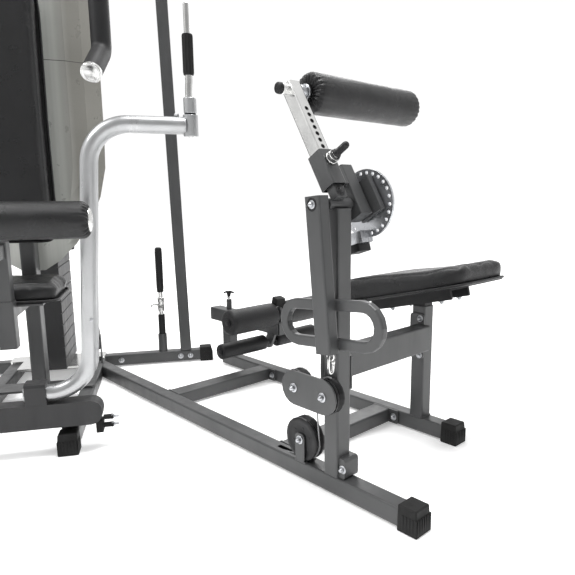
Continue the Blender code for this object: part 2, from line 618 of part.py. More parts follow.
def roller_arm(lever_hinge, pivot):
    swing = axis_empty("roller_arm_axis", pivot, lever_hinge)
    turn = (0, -ARM_TILT, 0)
    base = pivot + Vector((ARM_SHIFT, 0, 0))
    sleeve = hollow("arm_sleeve", (SLEEVE, SLEEVE, 0.095), on_arm(base, 0.094, ARM_Y), turn, 2, 0.003)
    near = box("arm_block_near", (0.050, 0.042, 0.140), on_arm(pivot, 0.030, 0.063), turn, 0.004, 2)
    far = box("arm_block_far", (0.078, 0.0165, 0.094), on_arm(pivot, 0.004, 0.0963, 0.014), turn, 0.003, 2)
    bridge = box("arm_bridge", (0.026, 0.078, 0.050), on_arm(base, 0.082, 0.044, -0.008), turn)
    link = box("arm_link", (0.016, 0.040, 0.030), on_arm(pivot, 0.030, 0.076, 0.008), turn)
    clear = box("arm_sleeve_clear", (SLEEVE - 0.006, SLEEVE - 0.006, 0.140),
                on_arm(base, 0.094, ARM_Y), turn)
    bore = cylinder("arm_bore", SHAFT_R + 0.0005, 0.200, (pivot.x, 0.080, pivot.z), ALONG_Y)
    boss_turn = (0, math.pi / 2 - ARM_TILT, 0)
    boss_place = on_arm(base, 0.112, ARM_Y, SLEEVE / 2 + 0.010)
    boss = cylinder("arm_pin_boss", 0.014, 0.022, boss_place, boss_turn, 16)
    boss_bore = cylinder("arm_pin_bore", 0.0065, 0.040, boss_place, boss_turn, 16)
    weld(sleeve, near, far, bridge, link, boss)
    attach(finish(cut(sleeve, clear, bore, boss_bore), "frame"), swing)
    pin_place = on_arm(base, 0.112, ARM_Y, SLEEVE / 2 + 0.022)
    pin_slide = axis_empty("arm_pin_slide", pin_place, swing)
    pin = turned("arm_pin", [(0.0001, 0.040), (0.006, 0.038), (0.0085, 0.030), (0.0085, 0.006),
                             (0.011, 0.002), (0.006, 0.0005), (0.006, -0.024), (0.0001, -0.024)],
                 pin_place, boss_turn, 16)
    attach(finish(pin, "plastic"), pin_slide)
    slide = axis_empty("chrome_arm_slide", pivot, swing)
    tube = hollow("chrome_arm", (ARM_TUBE, ARM_TUBE, 0.272), on_arm(base, 0.212, ARM_Y), turn,
                  2, 0.002, 0.004)
    holes = [cylinder("chrome_arm_hole_%d" % i, 0.0042, 0.020, on_arm(base, 0.153 + 0.0185 * i, ARM_Y, 0.018),
                      boss_turn, 10) for i in range(7)]
    cross = cylinder("roller_axle", 0.0125, 0.540, on_arm(base, ROLLER_REACH, 0.216), ALONG_Y, 20)
    attach(finish(cut(weld(tube, cross), *holes), "chrome"), slide)
    centre = on_arm(base, ROLLER_REACH, sum(CHEST_ROLLER_Y) / 2)
    spin = axis_empty("chest_roller_axis", centre, slide)
    foam = roller("chest_roller", CHEST_ROLLER_R, CHEST_ROLLER_Y[1] - CHEST_ROLLER_Y[0], centre, ALONG_Y,
                  0.0130, 0.016)
    attach(finish(foam, "vinyl"), spin)


def station_pulleys():
    for name, x in zip(("guide_pulley_rear", "guide_pulley_front"), GUIDE_PULLEYS_X):
        hub = axis_empty(name + "_axis", (x, GUIDE_PULLEY_Y, GUIDE_PULLEY_Z))
        attach(pulley(name, GUIDE_PULLEY_R, 0.026, (x, GUIDE_PULLEY_Y, GUIDE_PULLEY_Z)), hub)
    hub = axis_empty("low_pulley_axis", LOW_PULLEY)
    attach(pulley("low_pulley", LOW_PULLEY_R, 0.030, LOW_PULLEY), hub)


def beam_fork(name, centre):
    """Two ears and a pin on the base beam that carry one pulley."""
    x, y, z = centre
    low = BEAM_TOP - 0.001
    ears = [box("%s_ear_%d" % (name, i), (0.036, 0.004, z - low + 0.018),
                (x, y + side * 0.0195, (z + low + 0.018) / 2), (0, 0, 0), 0.012, 1, 3)
            for i, side in enumerate((-1, 1))]
    pads = [span("%s_lug_%d" % (name, i), (x - 0.022, y + min(side * 0.0215, side * 0.0120), low),
                 (x + 0.022, y + max(side * 0.0215, side * 0.0120), BEAM_TOP + 0.0030))
            for i, side in enumerate((-1, 1))]
    pin = cylinder(name + "_pin", 0.006, 0.043, centre, ALONG_Y, 16)
    return ears + pads + [pin]


def tangent(point, centre, radius, side):
    """The angle on a circle, in the XZ plane, where a line from the point touches it."""
    out = (point[0] - centre[0], point[1] - centre[1])
    return math.atan2(out[1], out[0]) + side * math.acos(radius / math.hypot(*out))


def wrap(centre, y, radius, first, last, steps=7):
    """The cable's points round a pulley, between two angles."""
    return [Vector((centre[0] + radius * math.cos(first + (last - first) * i / steps), y,
                    centre[1] + radius * math.sin(first + (last - first) * i / steps)))
            for i in range(steps + 1)]


def seat_of(radius):
    """Where the middle of a cable runs in the groove of a pulley."""
    return radius - GROOVE + CABLE_R + 0.0020


def ab_cable():
    """From the lever, round the guide and low pulleys, along inside the beam and up the tower."""
    eye = Vector((POST_X + math.sin(LEVER_TILT) * LEVER_LENGTH, 0,
                  PIVOT_Z - math.cos(LEVER_TILT) * LEVER_LENGTH - 0.062))
    front = (GUIDE_PULLEYS_X[1], GUIDE_PULLEY_Z)
    ring = seat_of(GUIDE_PULLEY_R)
    first = tangent((eye.x, eye.z), front, ring, 1)
    low = (LOW_PULLEY[0], LOW_PULLEY[2])
    low_ring = seat_of(LOW_PULLEY_R)
    leave = (front[0] - ring, front[1])
    catch = tangent(leave, low, low_ring, -1)
    touch = wrap(front, GUIDE_PULLEY_Y, ring, first, math.pi, 5)
    entry = eye.lerp(touch[0], 0.55)
    path = [Vector((eye.x, -0.060, eye.z - 0.003)), Vector((entry.x, GUIDE_PULLEY_Y - 0.001, entry.z))] + touch
    path += wrap(low, LOW_PULLEY[1], low_ring, catch, -math.radians(97), 8)
    path += [Vector((-0.620, 0.0, 0.033)), Vector((-1.660, 0.0, 0.033))]
    over = bend([(0.205, STACK_Y - 0.076, 0.033), (RISER_X + 0.004, STACK_Y - 0.020, 0.034),
                 (RISER_X, STACK_Y, 0.062), (RISER_X, STACK_Y, 0.300)], 0.012, 3)[1:]
    ring = (RISER_X - STACK_CABLE_X) / 2
    over += [Vector((p.x, STACK_Y, p.z))
             for p in wrap((STACK_CABLE_X + ring, RETURN_PULLEY_Z), 0, ring, 0.0, math.pi, 14)]
    over.append(Vector((STACK_CABLE_X, STACK_Y, HEAD_TOP + GAP)))
    back = Matrix.Rotation(TOWER_TURN, 3, "Z")
    path += [back @ p + Vector((*TOWER_ORIGIN, 0)) for p in over]
    wire = round_tube("ab_cable", path, CABLE_R, resolution=1)
    finish(wire, "cable")


# ---------------------------------------------------------------- tower, in its own axes
def tower():
    holder = axis_empty("tower_axes", (*TOWER_ORIGIN, 0), rotation=(0, 0, TOWER_TURN))
    tower_base(holder)
    tower_frame(holder)
    weight_stack(holder)
    press_arms(holder)
    fly_arms(holder)
    main_seat(holder)
    bars(holder)


def tower_base(holder):
    mid = FLOOR_GAP + TUBE / 2
    beam = between("tower_base_frame", (-REAR_HALF, 0, mid), (REAR_HALF, 0, mid), (TUBE, TUBE))
    socket = turned("curl_bar_socket", [(0.0200, 0.140), (0.0200, BEAM_TOP - 0.001), (0.0001, BEAM_TOP - 0.001),
                                        (0.0001, BEAM_TOP + 0.006), (0.0175, BEAM_TOP + 0.006),
                                        (0.0175, 0.140)], (CURL_BAR_X, 0, 0), steps=20)
    axle_y = STACK_Y - seat_of(RAIL_PULLEY_R)
    rails = [between("base_rail_%d" % way, (way * RAIL_X, RAIL_FRONT, mid), (way * RAIL_X, -0.024, mid),
                     (TUBE, TUBE)) for way in (1, -1)]
    ears = [span("rail_pulley_ear_%d" % i, (RISER_X + side * 0.0195 - 0.002, axle_y - 0.016, BEAM_TOP - 0.001),
                 (RISER_X + side * 0.0195 + 0.002, axle_y + 0.016, RAIL_PULLEY_Z + 0.018), radius=0.010, axis=0)
            for i, side in enumerate((-1, 1))]
    pin = cylinder("rail_pulley_pin", 0.006, 0.042, (RISER_X, axle_y, RAIL_PULLEY_Z), ALONG_X, 16)
    way_in = cylinder("rail_cable_entry", 0.009, 0.060, (0.193, STACK_Y - 0.056, 0.033), (0, math.pi / 2, -TOWER_TURN), 12)
    way_up = span("rail_cable_exit", (RISER_X - 0.008, STACK_Y - 0.016, 0.045),
                  (RISER_X + 0.010, STACK_Y + 0.010, 0.070))
    weld(beam, *rails, socket, *ears, pin)
    seat_on(finish(cut(beam, way_in, way_up), "frame"), holder)
    hub = axis_empty("rail_pulley_axis", (RISER_X, axle_y, RAIL_PULLEY_Z), holder)
    wheel = pulley("rail_pulley", RAIL_PULLEY_R, 0.030, (RISER_X, axle_y, RAIL_PULLEY_Z), ALONG_X)
    seat_on(wheel, holder)
    re_parent(wheel, hub)
    for side, way in (("right", 1), ("left", -1)):
        yaw = 0.0 if way > 0 else math.pi
        seat_on(foot("rear_foot_" + side, (way * (REAR_HALF + 0.020), 0), yaw), holder)
        seat_on(foot("front_foot_" + side, (way * RAIL_X, RAIL_FRONT - 0.020), -math.pi / 2), holder)
    cross = span("front_cross_beam", (-0.275, PRESS_Y - 0.030, 0.090),
                 (0.275, PRESS_Y + 0.030, 0.166), radius=0.034, axis=1, segments=4)
    hollow_out = span("front_cross_room", (-0.238, PRESS_Y - 0.026, 0.0), (0.238, PRESS_Y + 0.026, 0.161))
    risers = [span("press_riser_%d" % way, (way * RAIL_X - TUBE / 2, PRESS_Y + 0.026, BEAM_TOP + GAP),
                   (way * RAIL_X + TUBE / 2, PRESS_Y + 0.070, 0.120)) for way in (1, -1)]
    blocks, bores = [], []
    for way in (1, -1):
        blocks.append(span("press_bearing_%d" % way, (way * 0.090 - 0.030, PRESS_Y - 0.030, 0.155),
                           (way * 0.090 + 0.030, PRESS_Y + 0.030, 0.233), radius=0.012, axis=0))
        bores.append(cylinder("press_bearing_bore_%d" % way, PRESS_R + 0.0006, 0.100,
                              (way * 0.090, PRESS_Y, PRESS_PIVOT_Z), ALONG_X, 28))
    weld(cut(cross, hollow_out), *blocks, *risers)
    seat_on(finish(cut(cross, *bores), "frame"), holder)


def tower_frame(holder):
    for side, way in (("right", 1), ("left", -1)):
        post = between("upright_" + side, (way * UPRIGHT_BASE_X, 0, BEAM_TOP + 0.0012),
                       (way * UPRIGHT_TOP_X, 0, TOWER_TOP - 0.0012), (TUBE, TUBE), (0, 1, 0))
        seat_on(finish(post, "frame"), holder)
    mid = TOWER_TOP + TUBE / 2
    cross = between("top_frame", (-0.560, 0, mid), (0.560, 0, mid), (TUBE, TUBE))
    boom_z = mid + TUBE - 0.001
    boom = between("top_boom", (0, BOOM_FRONT, boom_z), (0, 0.030, boom_z), (TUBE, TUBE))
    hubs = [cylinder("fly_hub_%d" % way, 0.030, 0.060, (way * 0.100, FLY_Y, boom_z - 0.001), sides=24)
            for way in (1, -1)]
    arm = span("fly_hub_bar", (-0.100, FLY_Y - 0.015, boom_z - 0.015), (0.100, FLY_Y + 0.015, boom_z + 0.015))
    bores = [cylinder("fly_bore_%d" % way, 0.0155, 0.120, (way * 0.100, FLY_Y, boom_z), sides=20)
             for way in (1, -1)]
    carriers = []
    ab_cable()
    ring = seat_of(TOP_PULLEY_R)
    under = boom_z - TUBE / 2
    wide = (RISER_X - STACK_CABLE_X) / 2
    carriers.append(span("pulley_outrigger", (0.0235, STACK_Y - 0.0215, under - 0.020),
                         (STACK_CABLE_X + wide + 0.020, STACK_Y + 0.0215, under + 0.020)))
    hangers = [("return_pulley", (STACK_CABLE_X + wide, STACK_Y, RETURN_PULLEY_Z), 1,
                wide + GROOVE - CABLE_R - 0.002),
               ("lat_pulley_rear", (0, STACK_Y - ring, LAT_PULLEY_Z), 0, TOP_PULLEY_R),
               ("lat_pulley_front", (0, LAT_BAR_Y + ring, LAT_PULLEY_Z), 0, TOP_PULLEY_R)]
    for name, at, across, radius in hangers:
        for i, side in enumerate((-1, 1)):
            low, high = [at[0] - 0.013, at[1] - 0.013, at[2] - 0.014], [at[0] + 0.013, at[1] + 0.013, under + 0.002]
            low[across], high[across] = at[across] + side * 0.0175 - 0.002, at[across] + side * 0.0175 + 0.002
            carriers.append(span("%s_ear_%d" % (name, i), low, high))
        axle = (ALONG_X, ALONG_Y)[across]
        carriers.append(cylinder(name + "_pin", 0.006, 0.038, at, axle, 12))
        hub = axis_empty(name + "_axis", at, holder)
        wheel = pulley(name, radius, 0.030, at, axle)
        seat_on(wheel, holder)
        re_parent(wheel, hub)
    weld(cross, boom, arm, *hubs, *carriers)
    seat_on(finish(cut(cross, *bores), "frame"), holder)
    lat_cable(holder)
    low = BEAM_TOP + GAP
    top = boom_z - TUBE / 2 - GAP
    column = between("seat_column", (0, COLUMN_Y, low + 0.004), (0, COLUMN_Y, top), COLUMN, (0, 1, 0))
    base = span("column_base", (-0.195, COLUMN_Y - 0.050, low), (0.195, COLUMN_Y + 0.050, low + 0.008),
                radius=0.010, axis=2)
    vent = span("column_vent", (-0.018, COLUMN_Y - 0.030, 0.0), (0.018, COLUMN_Y + 0.030, 0.100))
    seat_arm = span("main_seat_arm", (-0.020, -0.7715, 0.405), (0.020, COLUMN_Y - 0.036, 0.445),
                    radius=0.004, axis=1)
    tongue = span("main_seat_tongue", (-0.100, -0.765, 0.440), (0.100, -0.520, 0.446))
    socket = hollow("thigh_socket", (0.050, 0.050, 0.150), (0, -0.795, 0.390), along=2)
    back_arms = [span("back_arm_%d" % i, (-0.015, COLUMN_Y - 0.062, z), (0.015, COLUMN_Y - 0.036, z + 0.030))
                 for i, z in enumerate((0.760, 1.280))]
    weld(column, base, seat_arm, tongue, socket, *back_arms)
    passage = span("lat_cable_passage", (-0.009, COLUMN_Y - 0.060, LAT_PULLEY_Z + 0.020),
                   (0.009, COLUMN_Y + 0.060, top - 0.002))
    seat_on(finish(cut(column, vent, passage), "frame"), holder)


def lat_cable(holder):
    """From the bar's stem over the two boom pulleys and down to the stack."""
    ring = seat_of(TOP_PULLEY_R)
    path = [Vector((0, LAT_BAR_Y, LAT_BAR_Z + 0.120 + GAP))]
    for y, a, b in ((LAT_BAR_Y + ring, math.pi, math.pi / 2), (STACK_Y - ring, math.pi / 2, 0.0)):
        path += [Vector((0, p.x, p.z)) for p in wrap((y, LAT_PULLEY_Z), 0, ring, a, b, 5)]
    path.append(Vector((0, STACK_Y, HEAD_TOP + GAP)))
    seat_on(finish(round_tube("lat_cable", path, CABLE_R, resolution=1), "cable"), holder)


def weight_stack(holder):
    low = BEAM_TOP + GAP
    base = span("stack_guide_rods", (-0.195, STACK_Y + 0.020, low), (0.195, STACK_Y + 0.100, low + 0.010),
                radius=0.010, axis=2)
    sill = span("stack_sill", (-0.140, STACK_Y - 0.105, low), (0.140, STACK_Y + 0.030, low + 0.010))
    rod_top = 1.790
    rods = [cylinder("guide_rod_%d" % i, 0.0095, rod_top - low, (0, STACK_Y + y, (rod_top + low) / 2), sides=16)
            for i, y in enumerate((-ROD_SPACING, ROD_SPACING))]
    cap = span("guide_rod_cap", (-0.035, STACK_Y - 0.105, rod_top - 0.010),
               (0.035, STACK_Y + 0.105, rod_top + 0.010), radius=0.004, axis=2)
    window = span("guide_rod_window", (-0.022, STACK_Y - 0.024, rod_top - 0.050),
                  (0.022, STACK_Y + 0.024, rod_top + 0.050))
    seat_on(finish(cut(weld(base, sill, *rods, cap), window), "chrome"), holder)
    stack_low = low + 0.010 + GAP
    stack_top = stack_low + PLATE_COUNT * PLATE_PITCH
    stack = span("weight_stack", (-STACK_SIZE[0] / 2, STACK_Y - STACK_SIZE[1] / 2, stack_low),
                 (STACK_SIZE[0] / 2, STACK_Y + STACK_SIZE[1] / 2, stack_top - 0.004))
    joints = []
    for i in range(1, PLATE_COUNT):
        z = stack_low + i * PLATE_PITCH
        for j, (side, sign) in enumerate((("x", 1), ("x", -1))):
            centre = (sign * STACK_SIZE[0] / 2, STACK_Y, z - 0.002)
            joints.append(box("plate_gap_%d_%d" % (i, j), (0.008, 0.400, 0.004), centre))
    passages = [cylinder("stack_passage_%d" % i, r, 0.800, (0, STACK_Y + y, 0.300), sides=16)
                for i, (y, r) in enumerate(((-ROD_SPACING, 0.0115), (0.0, 0.0205), (ROD_SPACING, 0.0115)))]
    seat_on(finish(cut(stack, *joints, *passages), "iron"), holder)
    lift = axis_empty("stack_lift", (0, STACK_Y, stack_top), holder)
    head = span("weight_head", (-STACK_SIZE[0] / 2, STACK_Y - STACK_SIZE[1] / 2, stack_top),
                (STACK_SIZE[0] / 2, STACK_Y + STACK_SIZE[1] / 2, stack_top + 0.040), radius=0.004)
    stem = cylinder("selector_stem", 0.0190, 0.440, (0, STACK_Y, stack_top - 0.180), sides=16)
    post = cylinder("head_post", 0.0210, HEAD_TOP - stack_top - 0.036, (0, STACK_Y, (HEAD_TOP + stack_top + 0.036) / 2),
                    sides=16)
    passages = [cylinder("head_passage_%d" % i, r, 1.200, (0, STACK_Y + y, stack_top), sides=16)
                for i, (y, r) in enumerate(((-ROD_SPACING, 0.0105), (0.0, 0.0150), (ROD_SPACING, 0.0105)))]
    pin_z = stack_top + 0.020
    pin_bore = cylinder("selector_bore", 0.0052, 0.060, (STACK_SIZE[0] / 2, STACK_Y, pin_z), ALONG_X, 12)
    weld(head, stem, post)
    seat_on(finish(cut(head, pin_bore, *passages), "iron"), holder)
    re_parent(head, lift)
    pin_axis = axis_empty("selector_slide", (STACK_SIZE[0] / 2, STACK_Y, pin_z), lift)
    pin = turned("selector_pin", [(0.0001, 0.046), (0.010, 0.044), (0.012, 0.036), (0.012, 0.014),
                                  (0.0045, 0.010), (0.0045, -0.026), (0.0001, -0.026)],
                 (STACK_SIZE[0] / 2, STACK_Y, pin_z), ALONG_X, 16)
    seat_on(finish(pin, "plastic"), holder)
    re_parent(pin, pin_axis)
    shroud(holder)


def re_parent(obj, parent):
    """Hand a piece that sits in the tower's axes to the empty on its joint."""
    bpy.context.view_layer.update()
    return attach(obj, parent)


def shroud(holder):
    """A tall convex cover in front of the stack; below the bend its sides run in to a shield shape."""
    half, bend_z, low, high = 0.275, 0.960, 0.505, 1.940
    columns, rows = 10, 12

    def build(bm):
        grid = []
        for row in range(rows + 1):
            z = low + (high - low) * (row / rows) ** 1.5
            drop = max(0.0, (bend_z - z) / (bend_z - low + 0.012))
            width = half * max(0.0, 1 - drop * drop) ** 0.65
            line = []
            for column in range(columns + 1):
                s = 2 * column / columns - 1
                across = abs(s * width / half)
                line.append(bm.verts.new((s * width, -0.362 + 0.016 * across ** 2
                                          + 0.160 * max(0.0, across - 0.68), z)))
            grid.append(line)
        for below, above in zip(grid, grid[1:]):
            for a, b, c, d in zip(below, below[1:], above[1:], above):
                bm.faces.new((a, b, c, d))
    cover = mesh_object("stack_shroud", build)
    shell = cover.modifiers.new("wall", "SOLIDIFY")
    shell.thickness = 0.004
    shell.offset = 1.0
    cover.data.shade_smooth()
    seat_on(finish(cover, "shroud"), holder)


def press_arms(holder):
    for side, way in (("right", 1), ("left", -1)):
        hinge = axis_empty("press_arm_%s_axis" % side, (way * 0.090, PRESS_Y, PRESS_PIVOT_Z), holder)
        corners = [(way * 0.055, PRESS_Y, PRESS_PIVOT_Z), (way * PRESS_X[0], PRESS_Y, PRESS_PIVOT_Z),
                   (way * PRESS_X[1], PRESS_Y, PRESS_TOP), (way * (GRIP_X - 0.016), PRESS_Y, PRESS_TOP)]
        arm = round_tube("press_arm_" + side, bend(corners, 0.118, 6), PRESS_R, wall=0.003, resolution=3)
        collar = cylinder("press_collar_%d" % way, 0.022, 0.062, (way * GRIP_X, PRESS_Y, PRESS_TOP), sides=24)
        bore = cylinder("press_collar_bore_%d" % way, 0.0135, 0.080, (way * GRIP_X, PRESS_Y, PRESS_TOP), sides=20)
        weld(arm, collar)
        seat_on(finish(cut(arm, bore), "silver"), holder)
        re_parent(arm, hinge)
        swivel = axis_empty("grip_%s_axis" % side, (way * GRIP_X, PRESS_Y, PRESS_TOP), hinge)
        grip = turned("grip_" + side, [(0.0001, 1.340), (0.0060, 1.338), (0.0060, 1.2545), (0.0150, 1.254),
                                       (0.0165, 1.250), (0.0165, 1.140),
                                       (0.0110, 1.136), (0.0100, 1.080), (0.0190, 1.076), (0.0190, 1.0275),
                                       (0.0130, 1.0275), (0.0130, 0.962), (0.0001, 0.962)],
                      (way * GRIP_X, PRESS_Y, 0), steps=14)
        seat_on(finish(grip, "rubber"), holder)
        re_parent(grip, swivel)


def fly_arms(holder):
    top = TOWER_TOP + TUBE - 0.001
    for side, way in (("right", 1), ("left", -1)):
        hinge = axis_empty("fly_arm_%s_axis" % side, (way * 0.100, FLY_Y, top), holder)
        corners = [(way * 0.100, FLY_Y, 2.150), (way * 0.100, FLY_Y, 2.020), (way * FLY_X, FLY_Y, 1.985),
                   (way * FLY_X, FLY_Y, 1.255), (way * 0.289, FLY_Y - 0.115, 1.163)]
        path = [Vector(corners[0])] + bend(corners[1:], 0.050, 5)
        arm = as_mesh(round_tube("fly_arm_" + side, path, 0.0150, resolution=3))
        tail = bend([(way * FLY_X, FLY_Y, 1.560)] + corners[3:], 0.050, 5)
        foam = as_mesh(round_tube("fly_foam_" + side, tail, 0.0320, resolution=4))
        cap = cylinder("fly_cap_%d" % way, 0.024, 0.010, (way * 0.100, FLY_Y, top + 0.0600), sides=16)
        seat_on(finish(weld(arm, foam, cap), "foam"), holder)
        re_parent(arm, hinge)


def main_seat(holder):
    pad = span("main_seat_pad", (-0.150, -0.765, 0.4463), (0.150, -0.490, 0.506), radius=0.018)
    seat_on(finish(pad, "vinyl"), holder)
    back = span("main_backrest_pad", (-0.120, COLUMN_Y - 0.122, 0.620), (0.120, COLUMN_Y - 0.0623, 1.480),
                radius=0.018)
    seat_on(finish(back, "vinyl"), holder)
    y, z, radius = THIGH_ROLLER
    lift = axis_empty("thigh_post_slide", (0, -0.795, 0.390), holder)
    stem = box("thigh_post", (0.0440, 0.0440, 0.300), (0, -0.795, 0.500), (0, 0, 0), 0.003, 2)
    arm = span("thigh_arm", (-0.016, y - 0.010, 0.600), (0.016, -0.775, 0.640))
    riser = span("thigh_riser", (-0.016, y - 0.016, 0.600), (0.016, y + 0.016, z + 0.016), radius=0.004, axis=2)
    shaft = cylinder("thigh_shaft", 0.0095, 0.600, (0, y, z), ALONG_X, 16)
    weld(stem, arm, riser, shaft)
    seat_on(finish(stem, "frame"), holder)
    re_parent(stem, lift)
    for side, way in (("right", 1), ("left", -1)):
        centre = (way * 0.160, y, z)
        spin = axis_empty("thigh_roller_%s_axis" % side, centre, lift)
        foam = roller("thigh_roller_" + side, radius, 0.270, centre, ALONG_X, 0.010)
        seat_on(finish(foam, "foam"), holder)
        re_parent(foam, spin)


def bars(holder):
    lift = axis_empty("curl_bar_slide", (CURL_BAR_X, 0, BEAM_TOP), holder)
    low = BEAM_TOP + 0.0075
    bar = turned("curl_bar", [(0.0001, 0.548), (0.0130, 0.547), (0.0155, 0.540), (0.0155, 0.340),
                              (0.0110, 0.337), (0.0110, 0.312), (0.0165, 0.310), (0.0165, 0.250),
                              (0.0110, 0.248), (0.0110, 0.234), (0.0155, 0.232), (0.0155, low),
                              (0.0001, low)], (CURL_BAR_X, 0, 0), steps=14)
    seat_on(finish(bar, "rubber"), holder)
    re_parent(bar, lift)
    y, z = LAT_BAR_Y, LAT_BAR_Z
    pull = axis_empty("lat_bar_slide", (0, y, z), holder)
    corners = [(-0.480, y, z - 0.100), (-0.320, y, z), (0.320, y, z), (0.480, y, z - 0.100)]
    lat = as_mesh(round_tube("lat_bar", bend(corners, 0.080, 4), 0.0140, resolution=3))
    stem = cylinder("lat_stem", 0.006, 0.120, (0, y, z + 0.060), sides=12)
    seat_on(finish(weld(lat, stem), "chrome"), holder)
    re_parent(lat, pull)


def centre_on_floor():
    """Move the whole gym so that its footprint's middle is the origin."""
    bpy.context.view_layer.update()
    graph = bpy.context.evaluated_depsgraph_get()
    points = []
    for obj in bpy.data.collections[GYM].objects:
        if obj.type in {"MESH", "CURVE"}:
            shape = obj.evaluated_get(graph)
            points += [shape.matrix_world @ vert.co for vert in shape.to_mesh().vertices]
            shape.to_mesh_clear()
    middle = [(min(p[i] for p in points) + max(p[i] for p in points)) / 2 for i in (0, 1)]
    shift = Vector((-middle[0], -middle[1], 0))
    for group in (GYM, "cutters"):
        for obj in bpy.data.collections[group].objects:
            if obj.parent is None:
                obj.location += shift
    bpy.context.view_layer.update()


def main():
    start()
    station_base()
    station_post()
    station_seat()
    station_leg_holder()
    lever()
    station_pulleys()
    tower()
    centre_on_floor()


main()
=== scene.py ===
"""The looks of the multi station home gym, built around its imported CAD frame.

Metres.  Pieces are made in the ab and back station's axes (STATION) or in the tower's (TOWER), as
the CAD is, and then ride on a CAD body.
"""
import json
import math

import bmesh
import bpy
from mathutils import Matrix, Vector, noise


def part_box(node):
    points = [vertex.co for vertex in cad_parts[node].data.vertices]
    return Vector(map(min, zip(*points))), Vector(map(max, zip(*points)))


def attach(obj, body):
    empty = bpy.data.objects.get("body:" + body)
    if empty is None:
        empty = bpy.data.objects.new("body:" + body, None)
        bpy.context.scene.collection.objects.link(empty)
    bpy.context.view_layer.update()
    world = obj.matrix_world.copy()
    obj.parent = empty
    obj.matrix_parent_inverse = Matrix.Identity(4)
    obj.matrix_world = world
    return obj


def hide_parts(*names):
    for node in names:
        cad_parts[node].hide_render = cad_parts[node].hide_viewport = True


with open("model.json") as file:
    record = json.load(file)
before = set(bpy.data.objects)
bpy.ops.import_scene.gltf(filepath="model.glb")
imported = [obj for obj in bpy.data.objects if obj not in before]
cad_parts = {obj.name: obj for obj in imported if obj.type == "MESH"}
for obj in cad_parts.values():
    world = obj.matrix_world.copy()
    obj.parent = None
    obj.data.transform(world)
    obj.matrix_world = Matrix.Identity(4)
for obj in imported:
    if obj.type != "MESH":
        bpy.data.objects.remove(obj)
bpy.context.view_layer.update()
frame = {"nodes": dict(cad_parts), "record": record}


# ---------------------------------------------------------------- axes
def middle(node):
    low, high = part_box(node)
    return (low + high) / 2


# Station: the post with the lever's pivot, the indexed disc, the rear beam and what stands on it.
POST_X = -0.286
PIVOT_Z = 0.77
DISC_Y = 0.1095
REAR_Y = 0.4963
SEAT_POST_X = -0.37
LEG_POST_X = -1.448
TUBE_HALF = 0.0252
SEAT_TILT = math.radians(14)
LEVER_TILT = math.radians(5.6)
ARM_TILT = math.radians(31.3)
# Tower: the stack's middle, the press arms' plane and the fly arms' plane.
STACK_Y = -0.08
PRESS_Y = -0.91
FLY_Y = -0.62

wheel = middle("adjuster_disc")
STATION = Matrix.Translation((wheel.x - POST_X, wheel.y - DISC_Y, 0))
TURN = Matrix.Rotation(math.radians(60), 4, "Z")
stack = middle("weight_stack")
TOWER = Matrix.Translation(Vector((stack.x, stack.y, 0)) - TURN @ Vector((0, STACK_Y, 0))) @ TURN
ALONG_X = Matrix.Rotation(math.pi / 2, 4, "Y")
ALONG_Y = Matrix.Rotation(-math.pi / 2, 4, "X")


# ---------------------------------------------------------------- camera, light and floor
def camera():
    data = bpy.data.cameras.new("camera")
    data.lens, data.sensor_width = 35.92, 36.0
    data.shift_x, data.shift_y = -0.0644, 0.018
    obj = bpy.data.objects.new("camera", data)
    bpy.context.scene.collection.objects.link(obj)
    obj.location = STATION @ Vector((0.7019, -1.0411, 0.8))
    obj.rotation_euler = (math.radians(90 - 10.479), 0, math.radians(44.819))
    bpy.context.scene.camera = obj


def area_light(name, place, target, size, power):
    data = bpy.data.lights.new(name, "AREA")
    data.shape, data.size, data.energy = "DISK", size, power
    obj = bpy.data.objects.new(name, data)
    bpy.context.scene.collection.objects.link(obj)
    obj.location = place
    obj.rotation_euler = (Vector(target) - Vector(place)).to_track_quat("-Z", "Y").to_euler()


def sky(tree, back):
    """A white room with one dimmer side, so that round metal shows light and dark streaks."""
    where = tree.nodes.new("ShaderNodeTexCoord")
    toward = tree.nodes.new("ShaderNodeVectorMath")
    toward.operation = "DOT_PRODUCT"
    toward.inputs[1].default_value = (0.9, -0.43, 0.0)
    tree.links.new(where.outputs["Generated"], toward.inputs[0])
    ramp = tree.nodes.new("ShaderNodeMapRange")
    tree.links.new(toward.outputs["Value"], ramp.inputs["Value"])
    for key, number in (("From Min", 0.05), ("From Max", 0.75), ("To Min", 1.03), ("To Max", 0.45)):
        ramp.inputs[key].default_value = number
    tree.links.new(ramp.outputs["Result"], back.inputs["Strength"])
    back.inputs["Color"].default_value = (1.0, 1.0, 1.0, 1.0)


def studio():
    scene = bpy.context.scene
    scene.view_settings.view_transform = "Standard"
    world = bpy.data.worlds.new("studio")
    scene.world = world
    world.use_nodes = True
    back = world.node_tree.nodes["Background"]
    sky(world.node_tree, back)
    area_light("key", (-1.2, -3.2, 4.6), (0.3, 0.0, 0.4), 2.2, 150)
    area_light("top", (0.8, 0.6, 5.2), (0.3, 0.1, 0.3), 1.8, 200)
    area_light("rear", (-2.2, 3.6, 3.2), (0.0, 0.2, 0.6), 2.4, 50)
    mesh = bpy.data.meshes.new("floor")
    bm = bmesh.new()
    bmesh.ops.create_grid(bm, x_segments=8, y_segments=8, size=30.0)
    bm.to_mesh(mesh)
    bm.free()
    floor = bpy.data.objects.new("floor", mesh)
    scene.collection.objects.link(floor)
    plain = bpy.data.materials.new("floor_white")
    plain.use_nodes = True
    shader = plain.node_tree.nodes["Principled BSDF"]
    shader.inputs["Base Color"].default_value = (0.93, 0.93, 0.93, 1)
    shader.inputs["Roughness"].default_value = 1.0
    shader.inputs["Emission Color"].default_value = (1.0, 1.0, 1.0, 1)
    shader.inputs["Emission Strength"].default_value = 0.3
    mesh.materials.append(plain)


